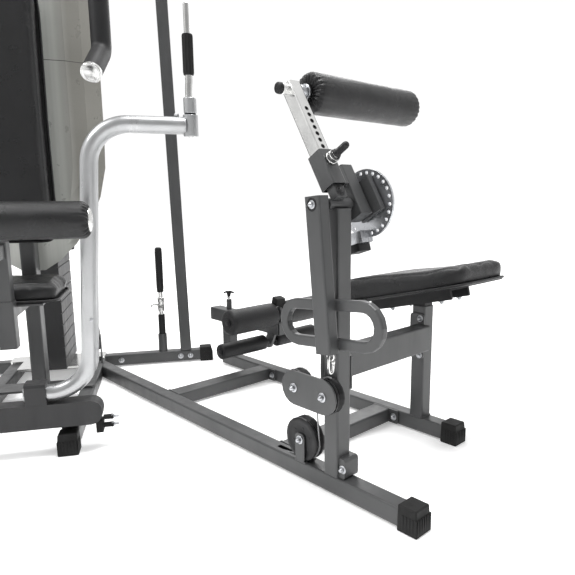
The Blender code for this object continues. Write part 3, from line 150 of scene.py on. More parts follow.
# ---------------------------------------------------------------- materials
class Tree:
    """A small builder of node materials around one Principled shader."""

    def __init__(self, name):
        self.mat = bpy.data.materials.new(name)
        self.mat.use_nodes = True
        self.nodes, self.links = self.mat.node_tree.nodes, self.mat.node_tree.links
        self.shader = self.nodes["Principled BSDF"]
        self.where = self.nodes.new("ShaderNodeTexCoord").outputs["Object"]

    def add(self, kind, **values):
        node = self.nodes.new(kind)
        for key, value in values.items():
            setattr(node, key, value)
        return node

    def link(self, out, into):
        self.links.new(out, into)

    def noise(self, scale, detail=3.0, rough=0.55, stretch=None, where=None):
        node = self.add("ShaderNodeTexNoise")
        node.inputs["Scale"].default_value = scale
        node.inputs["Detail"].default_value = detail
        node.inputs["Roughness"].default_value = rough
        source = where or self.where
        if stretch:
            mapping = self.add("ShaderNodeMapping")
            mapping.inputs["Scale"].default_value = stretch
            self.link(source, mapping.inputs["Vector"])
            source = mapping.outputs["Vector"]
        self.link(source, node.inputs["Vector"])
        return node.outputs["Fac"]

    def cells(self, scale, feature="F1"):
        node = self.add("ShaderNodeTexVoronoi", feature=feature)
        node.inputs["Scale"].default_value = scale
        self.link(self.where, node.inputs["Vector"])
        return node.outputs["Distance"]

    def spread(self, value, low, high, first=0.0, last=1.0):
        node = self.add("ShaderNodeMapRange")
        self.link(value, node.inputs["Value"])
        for key, number in (("From Min", low), ("From Max", high), ("To Min", first), ("To Max", last)):
            node.inputs[key].default_value = number
        return node.outputs["Result"]

    def times(self, a, b, operation="MULTIPLY"):
        node = self.add("ShaderNodeMath", operation=operation)
        for into, value in zip(node.inputs, (a, b)):
            if isinstance(value, (int, float)):
                into.default_value = value
            else:
                self.link(value, into)
        return node.outputs[0]

    def mix(self, amount, first, second):
        node = self.add("ShaderNodeMix", data_type="RGBA")
        self.link(amount, node.inputs["Factor"])
        for key, value in (("A", first), ("B", second)):
            into = [i for i in node.inputs if i.name == key and i.type == "RGBA"][0]
            if isinstance(value, (tuple, list)):
                into.default_value = (*value, 1.0)
            else:
                self.link(value, into)
        return [o for o in node.outputs if o.type == "RGBA"][0]

    def edge(self, radius):
        """1 along sharp edges; also rounds the shading there."""
        node = self.add("ShaderNodeBevel", samples=4)
        node.inputs["Radius"].default_value = radius
        flat = self.add("ShaderNodeNewGeometry")
        dot = self.add("ShaderNodeVectorMath", operation="DOT_PRODUCT")
        self.link(node.outputs["Normal"], dot.inputs[0])
        self.link(flat.outputs["Normal"], dot.inputs[1])
        return self.spread(dot.outputs["Value"], 0.99, 0.8), node.outputs["Normal"]

    def bump(self, height, distance, normal=None, strength=1.0):
        node = self.add("ShaderNodeBump")
        node.inputs["Distance"].default_value = distance
        node.inputs["Strength"].default_value = strength
        self.link(height, node.inputs["Height"])
        if normal is not None:
            self.link(normal, node.inputs["Normal"])
        return node.outputs["Normal"]

    def done(self, colour, roughness, normal, metallic=0.0, **more):
        self.link(colour, self.shader.inputs["Base Color"])
        self.link(roughness, self.shader.inputs["Roughness"])
        self.link(normal, self.shader.inputs["Normal"])
        self.shader.inputs["Metallic"].default_value = metallic
        for key, value in more.items():
            self.shader.inputs[key.replace("_", " ")].default_value = value
        return self.mat


def tone(colour, factor):
    return tuple(c * factor for c in colour)


def powder_coat(name, colour, rough, metallic=0.0, coat=0.0):
    t = Tree(name)
    worn, round_normal = t.edge(0.0018)
    cloud = t.noise(7.0, 4.0)
    speck = t.noise(900.0, 2.0)
    base = t.mix(t.spread(cloud, 0.3, 0.7), tone(colour, 0.9), tone(colour, 1.08))
    base = t.mix(t.times(t.spread(speck, 0.55, 0.75), 0.35), base, tone(colour, 1.7))
    wear = t.times(worn, t.spread(t.noise(60.0, 4.0), 0.42, 0.7, 0.0, 0.55))
    base = t.mix(wear, base, tone(colour, 2.6))
    rub = t.times(t.spread(t.noise(28.0, 5.0, stretch=(1, 1, 0.25)), 0.35, 0.7, rough - 0.06, rough + 0.1),
                  t.times(t.spread(speck, 0.3, 0.7), 0.05), "ADD")
    peel = t.times(t.noise(420.0, 2.0), t.times(speck, 0.5), "ADD")
    return t.done(base, rub, t.bump(peel, 0.00018, round_normal, 0.55), metallic, Coat_Weight=coat,
                  Specular_IOR_Level=0.5)


def bright_metal(name, colour, rough, brushed=False):
    t = Tree(name)
    round_normal = t.edge(0.0012)[1]
    haze = t.noise(16.0, 5.0)
    fine = t.noise(260.0, 3.0, stretch=(1, 1, 0.05) if brushed else None)
    base = t.mix(t.spread(haze, 0.3, 0.75), tone(colour, 0.86), colour)
    base = t.mix(t.times(t.spread(t.noise(90.0, 6.0), 0.62, 0.78), 0.3), base, tone(colour, 0.55))
    rub = t.times(t.spread(haze, 0.35, 0.75, rough, rough + 0.12), t.times(fine, 0.08), "ADD")
    return t.done(base, rub, t.bump(fine, 0.00006, round_normal, 0.5), 1.0)


def upholstery(name, colour, rough):
    """Grained vinyl: pebbles split by fine creases, a faint sheen and softer worn patches."""
    t = Tree(name)
    pebble = t.cells(520.0, "DISTANCE_TO_EDGE")
    grain = t.times(t.spread(pebble, 0.0, 0.22), t.times(t.noise(1300.0, 3.0), 0.35), "ADD")
    crease = t.spread(t.noise(34.0, 5.0, 0.6), 0.44, 0.56)
    height = t.times(grain, t.times(crease, 0.8), "ADD")
    # painted shade: the creases between the pebbles are painted darker
    base = t.mix(t.spread(pebble, 0.0, 0.12), tone(colour, 0.55), colour)
    base = t.mix(t.spread(t.noise(9.0, 4.0), 0.4, 0.72, 0.0, 0.5), base, tone(colour, 1.6))
    rub = t.times(t.spread(t.noise(20.0, 4.0), 0.3, 0.7, rough - 0.07, rough + 0.08),
                  t.spread(pebble, 0.0, 0.15, 0.12, 0.0), "ADD")
    return t.done(base, rub, t.bump(height, 0.00035, None, 0.6), 0.0, Specular_IOR_Level=0.4)


def foam_skin(name, colour):
    t = Tree(name)
    pores = t.cells(900.0)
    open_pores = t.spread(pores, 0.0, 0.5)
    cloud = t.noise(14.0, 4.0)
    base = t.mix(t.spread(cloud, 0.3, 0.7), tone(colour, 0.8), tone(colour, 1.25))
    # painted shade: the hollows of the open pores are painted darker
    base = t.mix(t.times(open_pores, 0.4), tone(colour, 0.5), base)
    rub = t.spread(cloud, 0.3, 0.7, 0.44, 0.6)
    height = t.times(open_pores, t.times(t.noise(60.0, 4.0), 1.6), "ADD")
    return t.done(base, rub, t.bump(height, 0.0004, None, 0.5), 0.0, Specular_IOR_Level=0.38)


def moulded(name, colour, rough, scale=700.0, depth=0.00015):
    t = Tree(name)
    worn, round_normal = t.edge(0.0012)
    fine = t.noise(scale, 3.0)
    cloud = t.noise(18.0, 4.0)
    base = t.mix(t.spread(cloud, 0.3, 0.7), tone(colour, 0.85), tone(colour, 1.2))
    base = t.mix(t.times(worn, t.spread(t.noise(70.0, 4.0), 0.4, 0.7, 0.1, 0.7)), base, tone(colour, 3.0))
    dust = t.times(t.spread(t.noise(40.0, 6.0), 0.55, 0.8), 0.25)
    base = t.mix(dust, base, tone(colour, 2.0))
    rub = t.spread(t.noise(30.0, 5.0), 0.3, 0.7, rough - 0.06, rough + 0.1)
    return t.done(base, rub, t.bump(fine, depth, round_normal, 0.6), 0.0, Specular_IOR_Level=0.28)


def cover_paint(name):
    """Satin grey sheet: painted shade makes it darker and browner towards its folded sides, which turn away
    from the light; painted vertical reflection streaks run down its pale middle.
    """
    t = Tree(name)
    place = t.add("ShaderNodeSeparateXYZ")
    turn = t.add("ShaderNodeMapping", vector_type="POINT")
    back = (TURN.to_3x3().inverted() @ -TOWER.translation)
    turn.inputs["Rotation"].default_value = (0, 0, -math.radians(60))
    turn.inputs["Location"].default_value = back
    t.link(t.where, turn.inputs["Vector"])
    t.link(turn.outputs["Vector"], place.inputs["Vector"])
    off = t.add("ShaderNodeMath", operation="ABSOLUTE")
    t.link(place.outputs["X"], off.inputs[0])
    # painted shade: the folded sides, turned away from the light, get the darker, browner tone mixed in below
    side = t.spread(off.outputs[0], 0.115, 0.182)
    # painted reflections: vertically stretched noise paints light and dark streaks into the pale middle
    painted_reflection_streak = t.noise(26.0, 2.0, 0.4, (1, 1, 0.004), turn.outputs["Vector"])
    middle_with_painted_streaks = t.mix(t.spread(painted_reflection_streak, 0.35, 0.65), (0.4, 0.41, 0.385), (0.6, 0.61, 0.575))
    dark = t.mix(t.spread(t.noise(3.0, 3.0), 0.3, 0.7), (0.17, 0.166, 0.148), (0.23, 0.225, 0.203))
    base = t.mix(side, middle_with_painted_streaks, dark)
    speck = t.noise(800.0, 2.0)
    base = t.mix(t.times(t.spread(speck, 0.5, 0.8), 0.25), base, (0.5, 0.5, 0.48))
    seam_at = t.add("ShaderNodeMath", operation="COMPARE")
    t.link(place.outputs["Z"], seam_at.inputs[0])
    seam_at.inputs[1].default_value, seam_at.inputs[2].default_value = 1.27, 0.0012
    base = t.mix(seam_at.outputs[0], base, (0.05, 0.05, 0.045))
    rub = t.spread(t.noise(18.0, 4.0), 0.3, 0.7, 0.26, 0.38)
    height = t.times(t.noise(500.0, 2.0), t.times(seam_at.outputs[0], -3.0), "ADD")
    return t.done(base, rub, t.bump(height, 0.0002, None, 0.5), 0.25, Coat_Weight=0.15)


def wire_rope(name):
    t = Tree(name)
    strand = t.add("ShaderNodeTexWave", wave_type="BANDS", bands_direction="DIAGONAL")
    strand.inputs["Scale"].default_value = 260.0
    strand.inputs["Distortion"].default_value = 0.4
    t.link(t.where, strand.inputs["Vector"])
    # painted shade: the grooves between the strands are painted darker than the strand crowns
    base = t.mix(strand.outputs["Fac"], (0.16, 0.16, 0.16), (0.5, 0.5, 0.51))
    base = t.mix(t.times(t.noise(40.0, 4.0), 0.5), base, (0.12, 0.12, 0.12))
    rub = t.spread(t.noise(60.0, 3.0), 0.3, 0.7, 0.3, 0.5)
    return t.done(base, rub, t.bump(strand.outputs["Fac"], 0.0004, None, 0.7), 0.75)


ANTHRACITE = (0.05, 0.051, 0.052)
MATERIALS = {
    "frame": powder_coat("powder_coat_anthracite", ANTHRACITE, 0.36),
    "silver": powder_coat("silver_paint", (0.44, 0.445, 0.45), 0.3, 0.85, 0.0),
    "chrome": bright_metal("chrome_plate", (0.72, 0.72, 0.71), 0.12),
    "zinc": bright_metal("zinc_plate", (0.52, 0.53, 0.55), 0.24, True),
    "vinyl": upholstery("black_vinyl", (0.0055, 0.0055, 0.0062), 0.31),
    "foam": foam_skin("black_foam", (0.0075, 0.0075, 0.0085)),
    "rubber": moulded("black_rubber", (0.0085, 0.0085, 0.0085), 0.66, 500.0, 0.0003),
    "plastic": moulded("black_nylon", (0.009, 0.009, 0.0098), 0.42),
    "shroud": cover_paint("cover_paint"),
    "iron": powder_coat("black_cast_iron", (0.018, 0.018, 0.019), 0.5),
    "cable": wire_rope("wire_rope"),
}


def dress_nodes():
    """Each carried-over CAD node gets the node material of its slot."""
    for part in frame["record"]["subparts"]:
        obj = frame["nodes"][part["node"]]
        obj.data.materials.clear()
        obj.data.materials.append(MATERIALS[part["material_slot"]])
    frame["nodes"]["front_cross_beam"].data.materials[0] = MATERIALS["iron"]
    frame["nodes"]["adjuster_disc"].data.materials[0] = MATERIALS["zinc"]


# ---------------------------------------------------------------- making pieces
def piece(name, bm, axes, finish, body, smooth=30):
    """A mesh object from bm, made in the given axes, that rides on a body."""
    obj = shape_of(name, bm, finish, smooth)
    return settle(obj, axes, body)


def settle(obj, axes, body):
    """Moves the mesh itself into place, as the CAD nodes are, and rides it on its body."""
    obj.data.transform(axes)
    obj.data.update()
    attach(obj, body)
    return obj


def shape_of(name, bm, finish, smooth=30):
    bmesh.ops.remove_doubles(bm, verts=bm.verts, dist=1e-6)
    bmesh.ops.recalc_face_normals(bm, faces=bm.faces)
    mesh = bpy.data.meshes.new(name)
    bm.to_mesh(mesh)
    bm.free()
    mesh.shade_smooth()
    if smooth:
        mesh.set_sharp_from_angle(angle=math.radians(smooth))
    obj = bpy.data.objects.new(name, mesh)
    bpy.context.scene.collection.objects.link(obj)
    mesh.materials.append(MATERIALS[finish])
    return obj


def ring(bm, points):
    return [bm.verts.new(p) for p in points]


def skin(bm, first, second):
    """Joins two closed rings of points with quads."""
    count = len(first)
    for i in range(count):
        j = (i + 1) % count
        bm.faces.new((first[i], first[j], second[j], second[i]))


def lathe(bm, profile, turn, sides=32):
    """Turn (radius, height) pairs about z, then place them; ends close on the axis."""
    loops = []
    for radius, height in profile:
        count = 1 if radius < 1e-6 else sides
        loops.append([bm.verts.new(turn @ Vector((radius * math.cos(math.tau * i / sides),
                                                  radius * math.sin(math.tau * i / sides), height)))
                      for i in range(count)])
    for a, b in zip(loops, loops[1:]):
        if len(a) == 1 and len(b) == 1:
            continue
        if len(a) == 1:
            for i in range(sides):
                bm.faces.new((a[0], b[i], b[(i + 1) % sides]))
        elif len(b) == 1:
            for i in range(sides):
                bm.faces.new((a[i], a[(i + 1) % sides], b[0]))
        else:
            skin(bm, a, b)


def at(place, axis=None):
    return Matrix.Translation(Vector(place)) @ (axis or Matrix.Identity(4))


def facing(direction):
    """Turns z to a direction."""
    return Vector(direction).to_track_quat("Z", "Y").to_matrix().to_4x4()


def bolt(bm, place, direction, size=0.007, domed=True):
    """A washer, a hexagon with eased corners and a domed end, standing out from place."""
    turn = at(place, facing(direction))
    wide, thick = size * 1.55, size * 0.2
    lathe(bm, [(0, 0), (wide * 0.96, 0), (wide, thick * 0.3), (wide, thick * 0.8), (wide * 0.95, thick),
               (size * 0.5, thick), (0, thick)], turn, 24)
    tall = size * 0.85
    lathe(bm, [(0, thick), (size * 1.04, thick), (size * 1.04, thick + tall * 0.8),
               (size * 0.9, thick + tall), (0, thick + tall)], turn, 6)
    if domed:
        steps = [(size * 0.8 * math.cos(a), thick + tall * 0.98 + size * 0.62 * math.sin(a))
                 for a in (0, 0.4, 0.8, 1.2)]
        lathe(bm, [(0, thick + tall * 0.98)] + steps + [(0, thick + tall * 0.98 + size * 0.62)], turn, 20)


def block(bm, size, turn, ease=0.002):
    """A box with rounded edges."""
    made = bmesh.ops.create_cube(bm, size=1.0, matrix=turn @ Matrix.Diagonal((*size, 1)))["verts"]
    edges = {e for v in made for e in v.link_edges}
    bmesh.ops.bevel(bm, geom=list(edges), offset=ease, segments=2, affect="EDGES", profile=0.6)


def smooth_path(corners, radius, steps=8):
    """Corner points joined with round bends."""
    points = [Vector(corners[0])]
    for before, here, after in zip(corners, corners[1:], corners[2:]):
        before, here, after = Vector(before), Vector(here), Vector(after)
        into, out = (before - here).normalized(), (after - here).normalized()
        half = into.angle(out) / 2
        back = radius / math.tan(half)
        centre = here + (into + out).normalized() * (radius / math.sin(half))
        start, end = here + into * back - centre, here + out * back - centre
        for i in range(steps + 1):
            points.append(centre + start.slerp(end, i / steps, start).normalized() * radius)
    return points + [Vector(corners[-1])]


def sweep(bm, points, radius, sides=20, closed=False):
    """A tube along points; radius may be a function of how far along it is."""
    points = [Vector(p) for p in points]
    loops, up = [], None
    count = len(points)
    for i, point in enumerate(points):
        ahead = points[(i + 1) % count] if closed or i + 1 < count else point
        behind = points[i - 1] if closed or i else point
        way = (ahead - behind).normalized()
        if up is None:
            up = way.orthogonal().normalized()
        up = (up - way * up.dot(way)).normalized()
        over = way.cross(up)
        r = radius(i / (count - 1)) if callable(radius) else radius
        loops.append([bm.verts.new(point + up * (r * math.cos(math.tau * k / sides))
                                   + over * (r * math.sin(math.tau * k / sides)))
                      for k in range(sides)])
    for a, b in zip(loops, loops[1:]):
        skin(bm, a, b)
    if closed:
        skin(bm, loops[-1], loops[0])
    else:
        bm.faces.new(loops[0])
        bm.faces.new(list(reversed(loops[-1])))


# ---------------------------------------------------------------- padded pieces
def inflate(obj):
    """Puffs a closed mesh up with cloth under inside pressure, and holds each point to a cap."""
    cap, voxel, frames = 0.01, 0.005, 20
    remesh = obj.modifiers.new("remesh", "REMESH")
    remesh.mode, remesh.voxel_size = "VOXEL", voxel
    apply_all(obj)
    rest = [v.co.copy() for v in obj.data.vertices]
    cloth = obj.modifiers.new("cloth", "CLOTH")
    cloth.settings.use_pressure = True
    cloth.settings.uniform_pressure_force = 4.0
    cloth.settings.effector_weights.gravity = 0.0
    cloth.settings.quality = 5
    cloth.point_cache.frame_start, cloth.point_cache.frame_end = 1, frames
    scene = bpy.context.scene
    for step in range(1, frames + 1):
        scene.frame_set(step)
    apply_all(obj)
    for vert, before in zip(obj.data.vertices, rest):
        move = vert.co - before
        if move.length > cap:
            vert.co = before + move * (cap / move.length)
    scene.frame_set(1)
    ease = obj.modifiers.new("ease", "SMOOTH")
    ease.factor, ease.iterations = 0.5, 6
    apply_all(obj)


def apply_all(obj):
    """The modified mesh becomes the mesh."""
    bpy.context.view_layer.update()
    made = bpy.data.meshes.new_from_object(obj.evaluated_get(bpy.context.evaluated_depsgraph_get()))
    obj.modifiers.clear()
    old, obj.data = obj.data, made
    bpy.data.meshes.remove(old)


def outline(length, width, corner, waist, count=72):
    """A rounded rectangle, narrower at its middle by waist on each side."""
    points = []
    for i in range(count):
        a = math.tau * i / count
        c, s = math.cos(a), math.sin(a)
        power = 2 / corner
        x = math.copysign(abs(c) ** power, c) * length / 2
        y = math.copysign(abs(s) ** power, s) * width / 2
        y -= math.copysign(waist * max(0, 1 - (2 * x / length) ** 2), y) if abs(y) > width * 0.2 else 0
        points.append((x, y))
    return points


def cushion(name, node, axes, size, thick, waist=0.0, corner=7.0, crown=0.006, shape=None):
    """A board-backed pad: an inflated cover over foam, with a welt round its lower edge.

    In its own axes the pad lies on z = 0, x along its length.
    """
    length, width = size
    shrink = 0.006
    bm = bmesh.new()
    layers = []
    rows = [(0.0, 0.002), (0.1, 0.0), (0.66, 0.0), (0.82, 0.002), (0.93, 0.006), (0.98, 0.012)]
    for height, inset in rows:
        narrow = 2 * (shrink + inset)
        flat = outline(length - narrow, width - narrow, corner, waist)
        layers.append(ring(bm, [(x, y, height * thick) for x, y in flat]))
    for a, b in zip(layers, layers[1:]):
        skin(bm, a, b)
    inner = layers[-1]
    for scale in (0.9, 0.75, 0.5, 0.28):
        rise = crown * (1 - scale ** 2)
        loop = ring(bm, [(x * scale, y * scale, thick * 0.99 + rise) for x, y in flat])
        skin(bm, inner, loop)
        inner = loop
    bm.faces.new(inner)
    bm.faces.new(list(reversed(layers[0])))
    obj = shape_of(name, bm, "vinyl", 0)
    inflate(obj)
    top = thick + crown
    for vert in obj.data.vertices:
        x, y, z = vert.co
        vert.co.z = max(0.0, z) if z < thick * 0.12 else z
        inset = seam_inset(x, y, length, width)
        if z > thick * 0.4:
            vert.co.z = min(vert.co.z, top + 0.004)
            vert.co.z -= 0.002 * math.exp(-((inset - 0.03) / 0.0022) ** 2)
            vert.co.z += 0.0006 * noise.noise(Vector((x, y, z)) * 22)
        if shape:
            vert.co.z += shape(x, y) * max(0.0, min(1.0, z / thick))
            vert.co.x += 0.013 * max(0.0, min(1.0, (x - 0.1) / 0.12)) * max(0.0, min(1.0, z / thick))
    obj.data.shade_smooth()
    fine = obj.modifiers.new("fine", "SUBSURF")
    fine.levels = fine.render_levels = 1
    apply_all(obj)
    obj.data.shade_smooth()
    welt = bmesh.new()
    edge = outline(length - 0.01, width - 0.01, corner, waist, 96)
    sweep(welt, [(x, y, 0.0068) for x, y in edge], 0.0042, 10, closed=True)
    piece(name + "_welt", welt, axes, "vinyl", "gym_frame", 0)
    board = bmesh.new()
    low = ring(board, [(x * 0.992, y * 0.988, -0.0002) for x, y in edge])
    high = ring(board, [(x * 0.996, y * 0.994, 0.0045) for x, y in edge])
    skin(board, low, high)
    board.faces.new(high)
    board.faces.new(list(reversed(low)))
    piece(name + "_board", board, axes, "plastic", "gym_frame")
    stitch = bmesh.new()
    path = outline(length - 0.06, width - 0.06, corner, waist, 96)
    for i, (x, y) in enumerate(path):
        nx, ny = path[(i + 1) % len(path)]
        drop = surface_height(obj, x, y)
        if drop is None:
            continue
        run = Vector((nx - x, ny - y, 0))
        if run.length < 0.003:
            continue
        mid, half = Vector((x, y, drop + 0.0001)), run * 0.32
        sweep(stitch, [mid - half, mid + Vector((0, 0, 0.0005)), mid + half], 0.00055, 6)
    piece(name + "_stitches", stitch, axes, "vinyl", "gym_frame", 0)
    settle(obj, axes, "gym_frame")
    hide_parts(node)


def seam_inset(x, y, length, width):
    """How far a point is in from the pad's outline, about."""
    return min(length / 2 - abs(x), width / 2 - abs(y))


def surface_height(obj, x, y):
    """The pad's top above a point of its plane, or None beside the pad."""
    found = obj.ray_cast(Vector((x, y, 0.5)), Vector((0, 0, -1)))
    return found[1].z if found[0] else None


def gathered_roller(name, node, body, axes, length, radius, bore, gather):
    """A stuffed vinyl roller along z; its ends are drawn in with pleats."""
    sides, pleats = 132, 22
    half = length / 2
    bm = bmesh.new()
    profile = []
    for end in (-1, 1):
        rows = []
        for i in range(9):
            a = math.pi / 2 * i / 8
            fold = 1.0 if i < 5 else 1.0 - (i - 4) / 5
            rows.append((radius - gather + gather * math.sin(a),
                         end * (half - gather + gather * math.cos(a)), fold))
        inner = [(bore + (radius - gather - bore) * k / 5, end * (half - 0.003 * (1 - k / 5)), 0.9)
                 for k in range(5)]
        part = inner + rows
        profile.append(part if end < 0 else list(reversed(part)))
    body_rows = [(radius, -half + gather + (length - 2 * gather) * k / 24, 0.0) for k in range(1, 24)]
    loops = []
    for r, z, fold in profile[0] + body_rows + profile[1]:
        points = []
        for i in range(sides):
            a = math.tau * i / sides
            wave = math.cos(pleats * a + 0.9 * math.sin(3 * a)) + 0.35 * math.cos(2 * pleats * a)
            depth = 0.0024 * fold * wave
            swell = 0.0006 * noise.noise(Vector((math.cos(a) * 2, math.sin(a) * 2, z * 14)))
            near = max(0.0, 1 - (half - abs(z)) / 0.055)
            swell += 0.0007 * near * wave * (1 - fold)
            lift = min(r + swell - abs(depth) * (0.4 if fold > 0.95 else 1.0), radius + 0.0012)
            points.append((lift * math.cos(a), lift * math.sin(a),
                           z - math.copysign(max(0.0, 0.0022 * fold - depth), z)))
        loops.append(ring(bm, points))
    for a, b in zip(loops, loops[1:]):
        skin(bm, a, b)
    skin(bm, loops[-1], loops[0])
    obj = piece(name, bm, axes, "vinyl", body, 0)
    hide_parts(node)


def foam_roller(name, node, body, axes, length, radius, bore, ease):
    """A plain foam roller along z with rounded ends."""
    sides, half = 72, length / 2
    bm = bmesh.new()
    rows = []
    for end in (-1, 1):
        part = [(bore, end * (half - 0.002)), (bore + 0.004, end * (half - 0.0006))]
        part += [(bore + 0.004 + (radius - ease - bore - 0.004) * k / 4, end * (half - 0.0004 * (4 - k) / 4))
                 for k in range(1, 4)]
        part += [(radius - ease + ease * math.sin(math.pi / 2 * i / 6),
                  end * (half - ease + ease * math.cos(math.pi / 2 * i / 6))) for i in range(7)]
        rows.append(part if end < 0 else list(reversed(part)))
    body_rows = [(radius, -half + ease + (length - 2 * ease) * k / 18) for k in range(1, 18)]
    loops = []
    for r, z in rows[0] + body_rows + rows[1]:
        points = []
        for i in range(sides):
            a = math.tau * i / sides
            swell = 0.0007 * noise.noise(Vector((math.cos(a) * 1.6, math.sin(a) * 1.6, z * 9 + 5)))
            points.append(((r + swell) * math.cos(a), (r + swell) * math.sin(a), z))
        loops.append(ring(bm, points))
    for a, b in zip(loops, loops[1:]):
        skin(bm, a, b)
    skin(bm, loops[-1], loops[0])
    obj = piece(name, bm, axes, "foam", body, 0)
    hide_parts(node)


def in_axes(axes, node):
    """A node's middle, told in the station's or the tower's axes."""
    return axes.inverted() @ middle(node)


def seat_wedge(x, y):
    """The sloping seat is thicker towards its lower end and has shallow channels along it there."""
    ease = max(0.0, min(1.0, (0.15 - x) / 0.32))
    rise = 0.019 * ease * ease * (3 - 2 * ease)
    flat = max(0.0, min(1.0, (0.12 - abs(y)) / 0.012)) * max(0.0, min(1.0, (0.09 - x) / 0.06))
    flat *= max(0.0, min(1.0, (x + 0.215) / 0.02))
    return rise - 0.0016 * flat * (0.5 + 0.5 * math.cos(math.tau * y / 0.024)) ** 3


def soft_goods():
    """Covers and foams that stand for the CAD's padded solids."""
    lean = Matrix.Rotation(-SEAT_TILT, 4, "Y")
    thick = 0.062
    half = 0.02985
    centre = in_axes(STATION, "ab_seat_pad")
    under = centre - (lean @ Vector((0, 0, thick / 2)))
    cushion("ab_seat_cushion", "ab_seat_pad", STATION @ at(under) @ lean @ at((-0.009, 0, 0)), (0.488, 0.296),
            0.056, waist=0.004, corner=9.0, crown=0.005, shape=seat_wedge)
    centre = in_axes(TOWER, "main_seat_pad")
    seat_turn = Matrix.Rotation(math.pi / 2, 4, "Z")
    below = at((centre.x, centre.y, centre.z - half))
    cushion("main_seat_cushion", "main_seat_pad", TOWER @ below @ seat_turn, (0.277, 0.302), 0.054,
            waist=0.004)
    centre = in_axes(TOWER, "main_backrest_pad")
    stand = Matrix.Rotation(math.pi / 2, 4, "X") @ Matrix.Rotation(math.pi / 2, 4, "Z")
    behind = at((centre.x, centre.y + half, centre.z))
    cushion("backrest_cushion", "main_backrest_pad", TOWER @ behind @ stand, (0.862, 0.242), 0.054,
            waist=0.006, corner=9.0)
    centre = in_axes(STATION, "chest_roller")
    gathered_roller("chest_roller_cover", "chest_roller", "chest_roller_body", STATION @ at(centre, ALONG_Y),
                    0.438, 0.0535, 0.0132, 0.016)
    for level, radius in (("upper", 0.05), ("lower", 0.031)):
        for side in ("near", "far"):
            node = "%s_foot_roller_%s" % (level, side)
            low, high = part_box(node)
            foam_roller(node + "_foam", node, node + "_body", STATION @ at(in_axes(STATION, node), ALONG_Y),
                        high.y - low.y, radius, 0.0102, 0.012 if level == "upper" else 0.008)
    for side in ("right", "left"):
        node = "thigh_roller_" + side
        gathered_roller(node + "_cover", node, node + "_body", TOWER @ at(in_axes(TOWER, node), ALONG_X),
                        0.272, 0.0505, 0.0102, 0.018)


# ---------------------------------------------------------------- hardware
def roller_hardware():
    """End discs and caps of the rollers' shafts."""
    centre = in_axes(STATION, "chest_roller")
    bm = bmesh.new()
    lathe(bm, [(0.0132, 0.008), (0.0195, 0.0075), (0.021, 0.005), (0.021, 0.001), (0.0195, 0.0),
               (0.0132, 0.0), (0.0132, 0.008)], at((centre.x, 0.03, centre.z), ALONG_Y), 36)
    lathe(bm, [(0.0132, 0.0), (0.0165, 0.0), (0.0175, 0.003), (0.0175, 0.018), (0.0132, 0.019),
               (0.0132, 0.0)], at((centre.x, 0.011, centre.z), ALONG_Y), 36)
    lathe(bm, [(0.0132, 0.0), (0.02, 0.0), (0.02, 0.005), (0.0132, 0.006), (0.0132, 0.0)],
          at((centre.x, 0.4775, centre.z), ALONG_Y), 36)
    piece("chest_roller_washers", bm, STATION, "zinc", "chrome_tube")
    bm = bmesh.new()
    lathe(bm, [(0, 0.0), (0.0105, 0.0), (0.014, 0.002), (0.0148, 0.006), (0.0148, 0.011), (0.0, 0.011)],
          at((centre.x, -0.062, centre.z), ALONG_Y), 32)
    lathe(bm, [(0, 0.0), (0.013, 0.0), (0.014, 0.002), (0.0128, 0.006), (0.0, 0.007)],
          at((centre.x, 0.4862, centre.z), ALONG_Y), 32)
    piece("roller_axle_plugs", bm, STATION, "plastic", "chrome_tube")
    bm = bmesh.new()
    plugs = bmesh.new()
    for level in ("upper", "lower"):
        for side, way in (("near", -1), ("far", 1)):
            low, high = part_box("%s_foot_roller_%s" % (level, side))
            mid = in_axes(STATION, "%s_foot_roller_%s" % (level, side))
            out = mid.y + way * ((high.y - low.y) / 2 + 0.0015)
            turn = at((mid.x, out, mid.z), facing((0, way, 0)))
            lathe(bm, [(0.0098, -0.001), (0.016, -0.001), (0.0165, 0.0004), (0.016, 0.0014),
                       (0.0098, 0.0014), (0.0098, -0.001)], turn, 32)
            lathe(plugs, [(0, 0.0052), (0.006, 0.005), (0.0093, 0.0038), (0.0098, 0.0012), (0.0098, -0.0008),
                          (0, -0.0008)], turn, 32)
    piece("foot_roller_washers", bm, STATION, "plastic", "boom")
    piece("foot_roller_plugs", plugs, STATION, "plastic", "boom")
    bm = bmesh.new()
    for side, way in (("right", 1), ("left", -1)):
        mid = in_axes(TOWER, "thigh_roller_" + side)
        turn = at((mid.x + way * 0.1365, mid.y, mid.z), facing((way, 0, 0)))
        lathe(bm, [(0, 0.0058), (0.005, 0.0058), (0.0056, 0.0046), (0.011, 0.006), (0.02, 0.0052),
                   (0.028, 0.003), (0.0325, 0.0004), (0.033, -0.0016), (0.031, -0.003), (0.0, -0.003)],
              turn, 48)
    piece("thigh_roller_discs", bm, TOWER, "chrome", "thigh_frame")


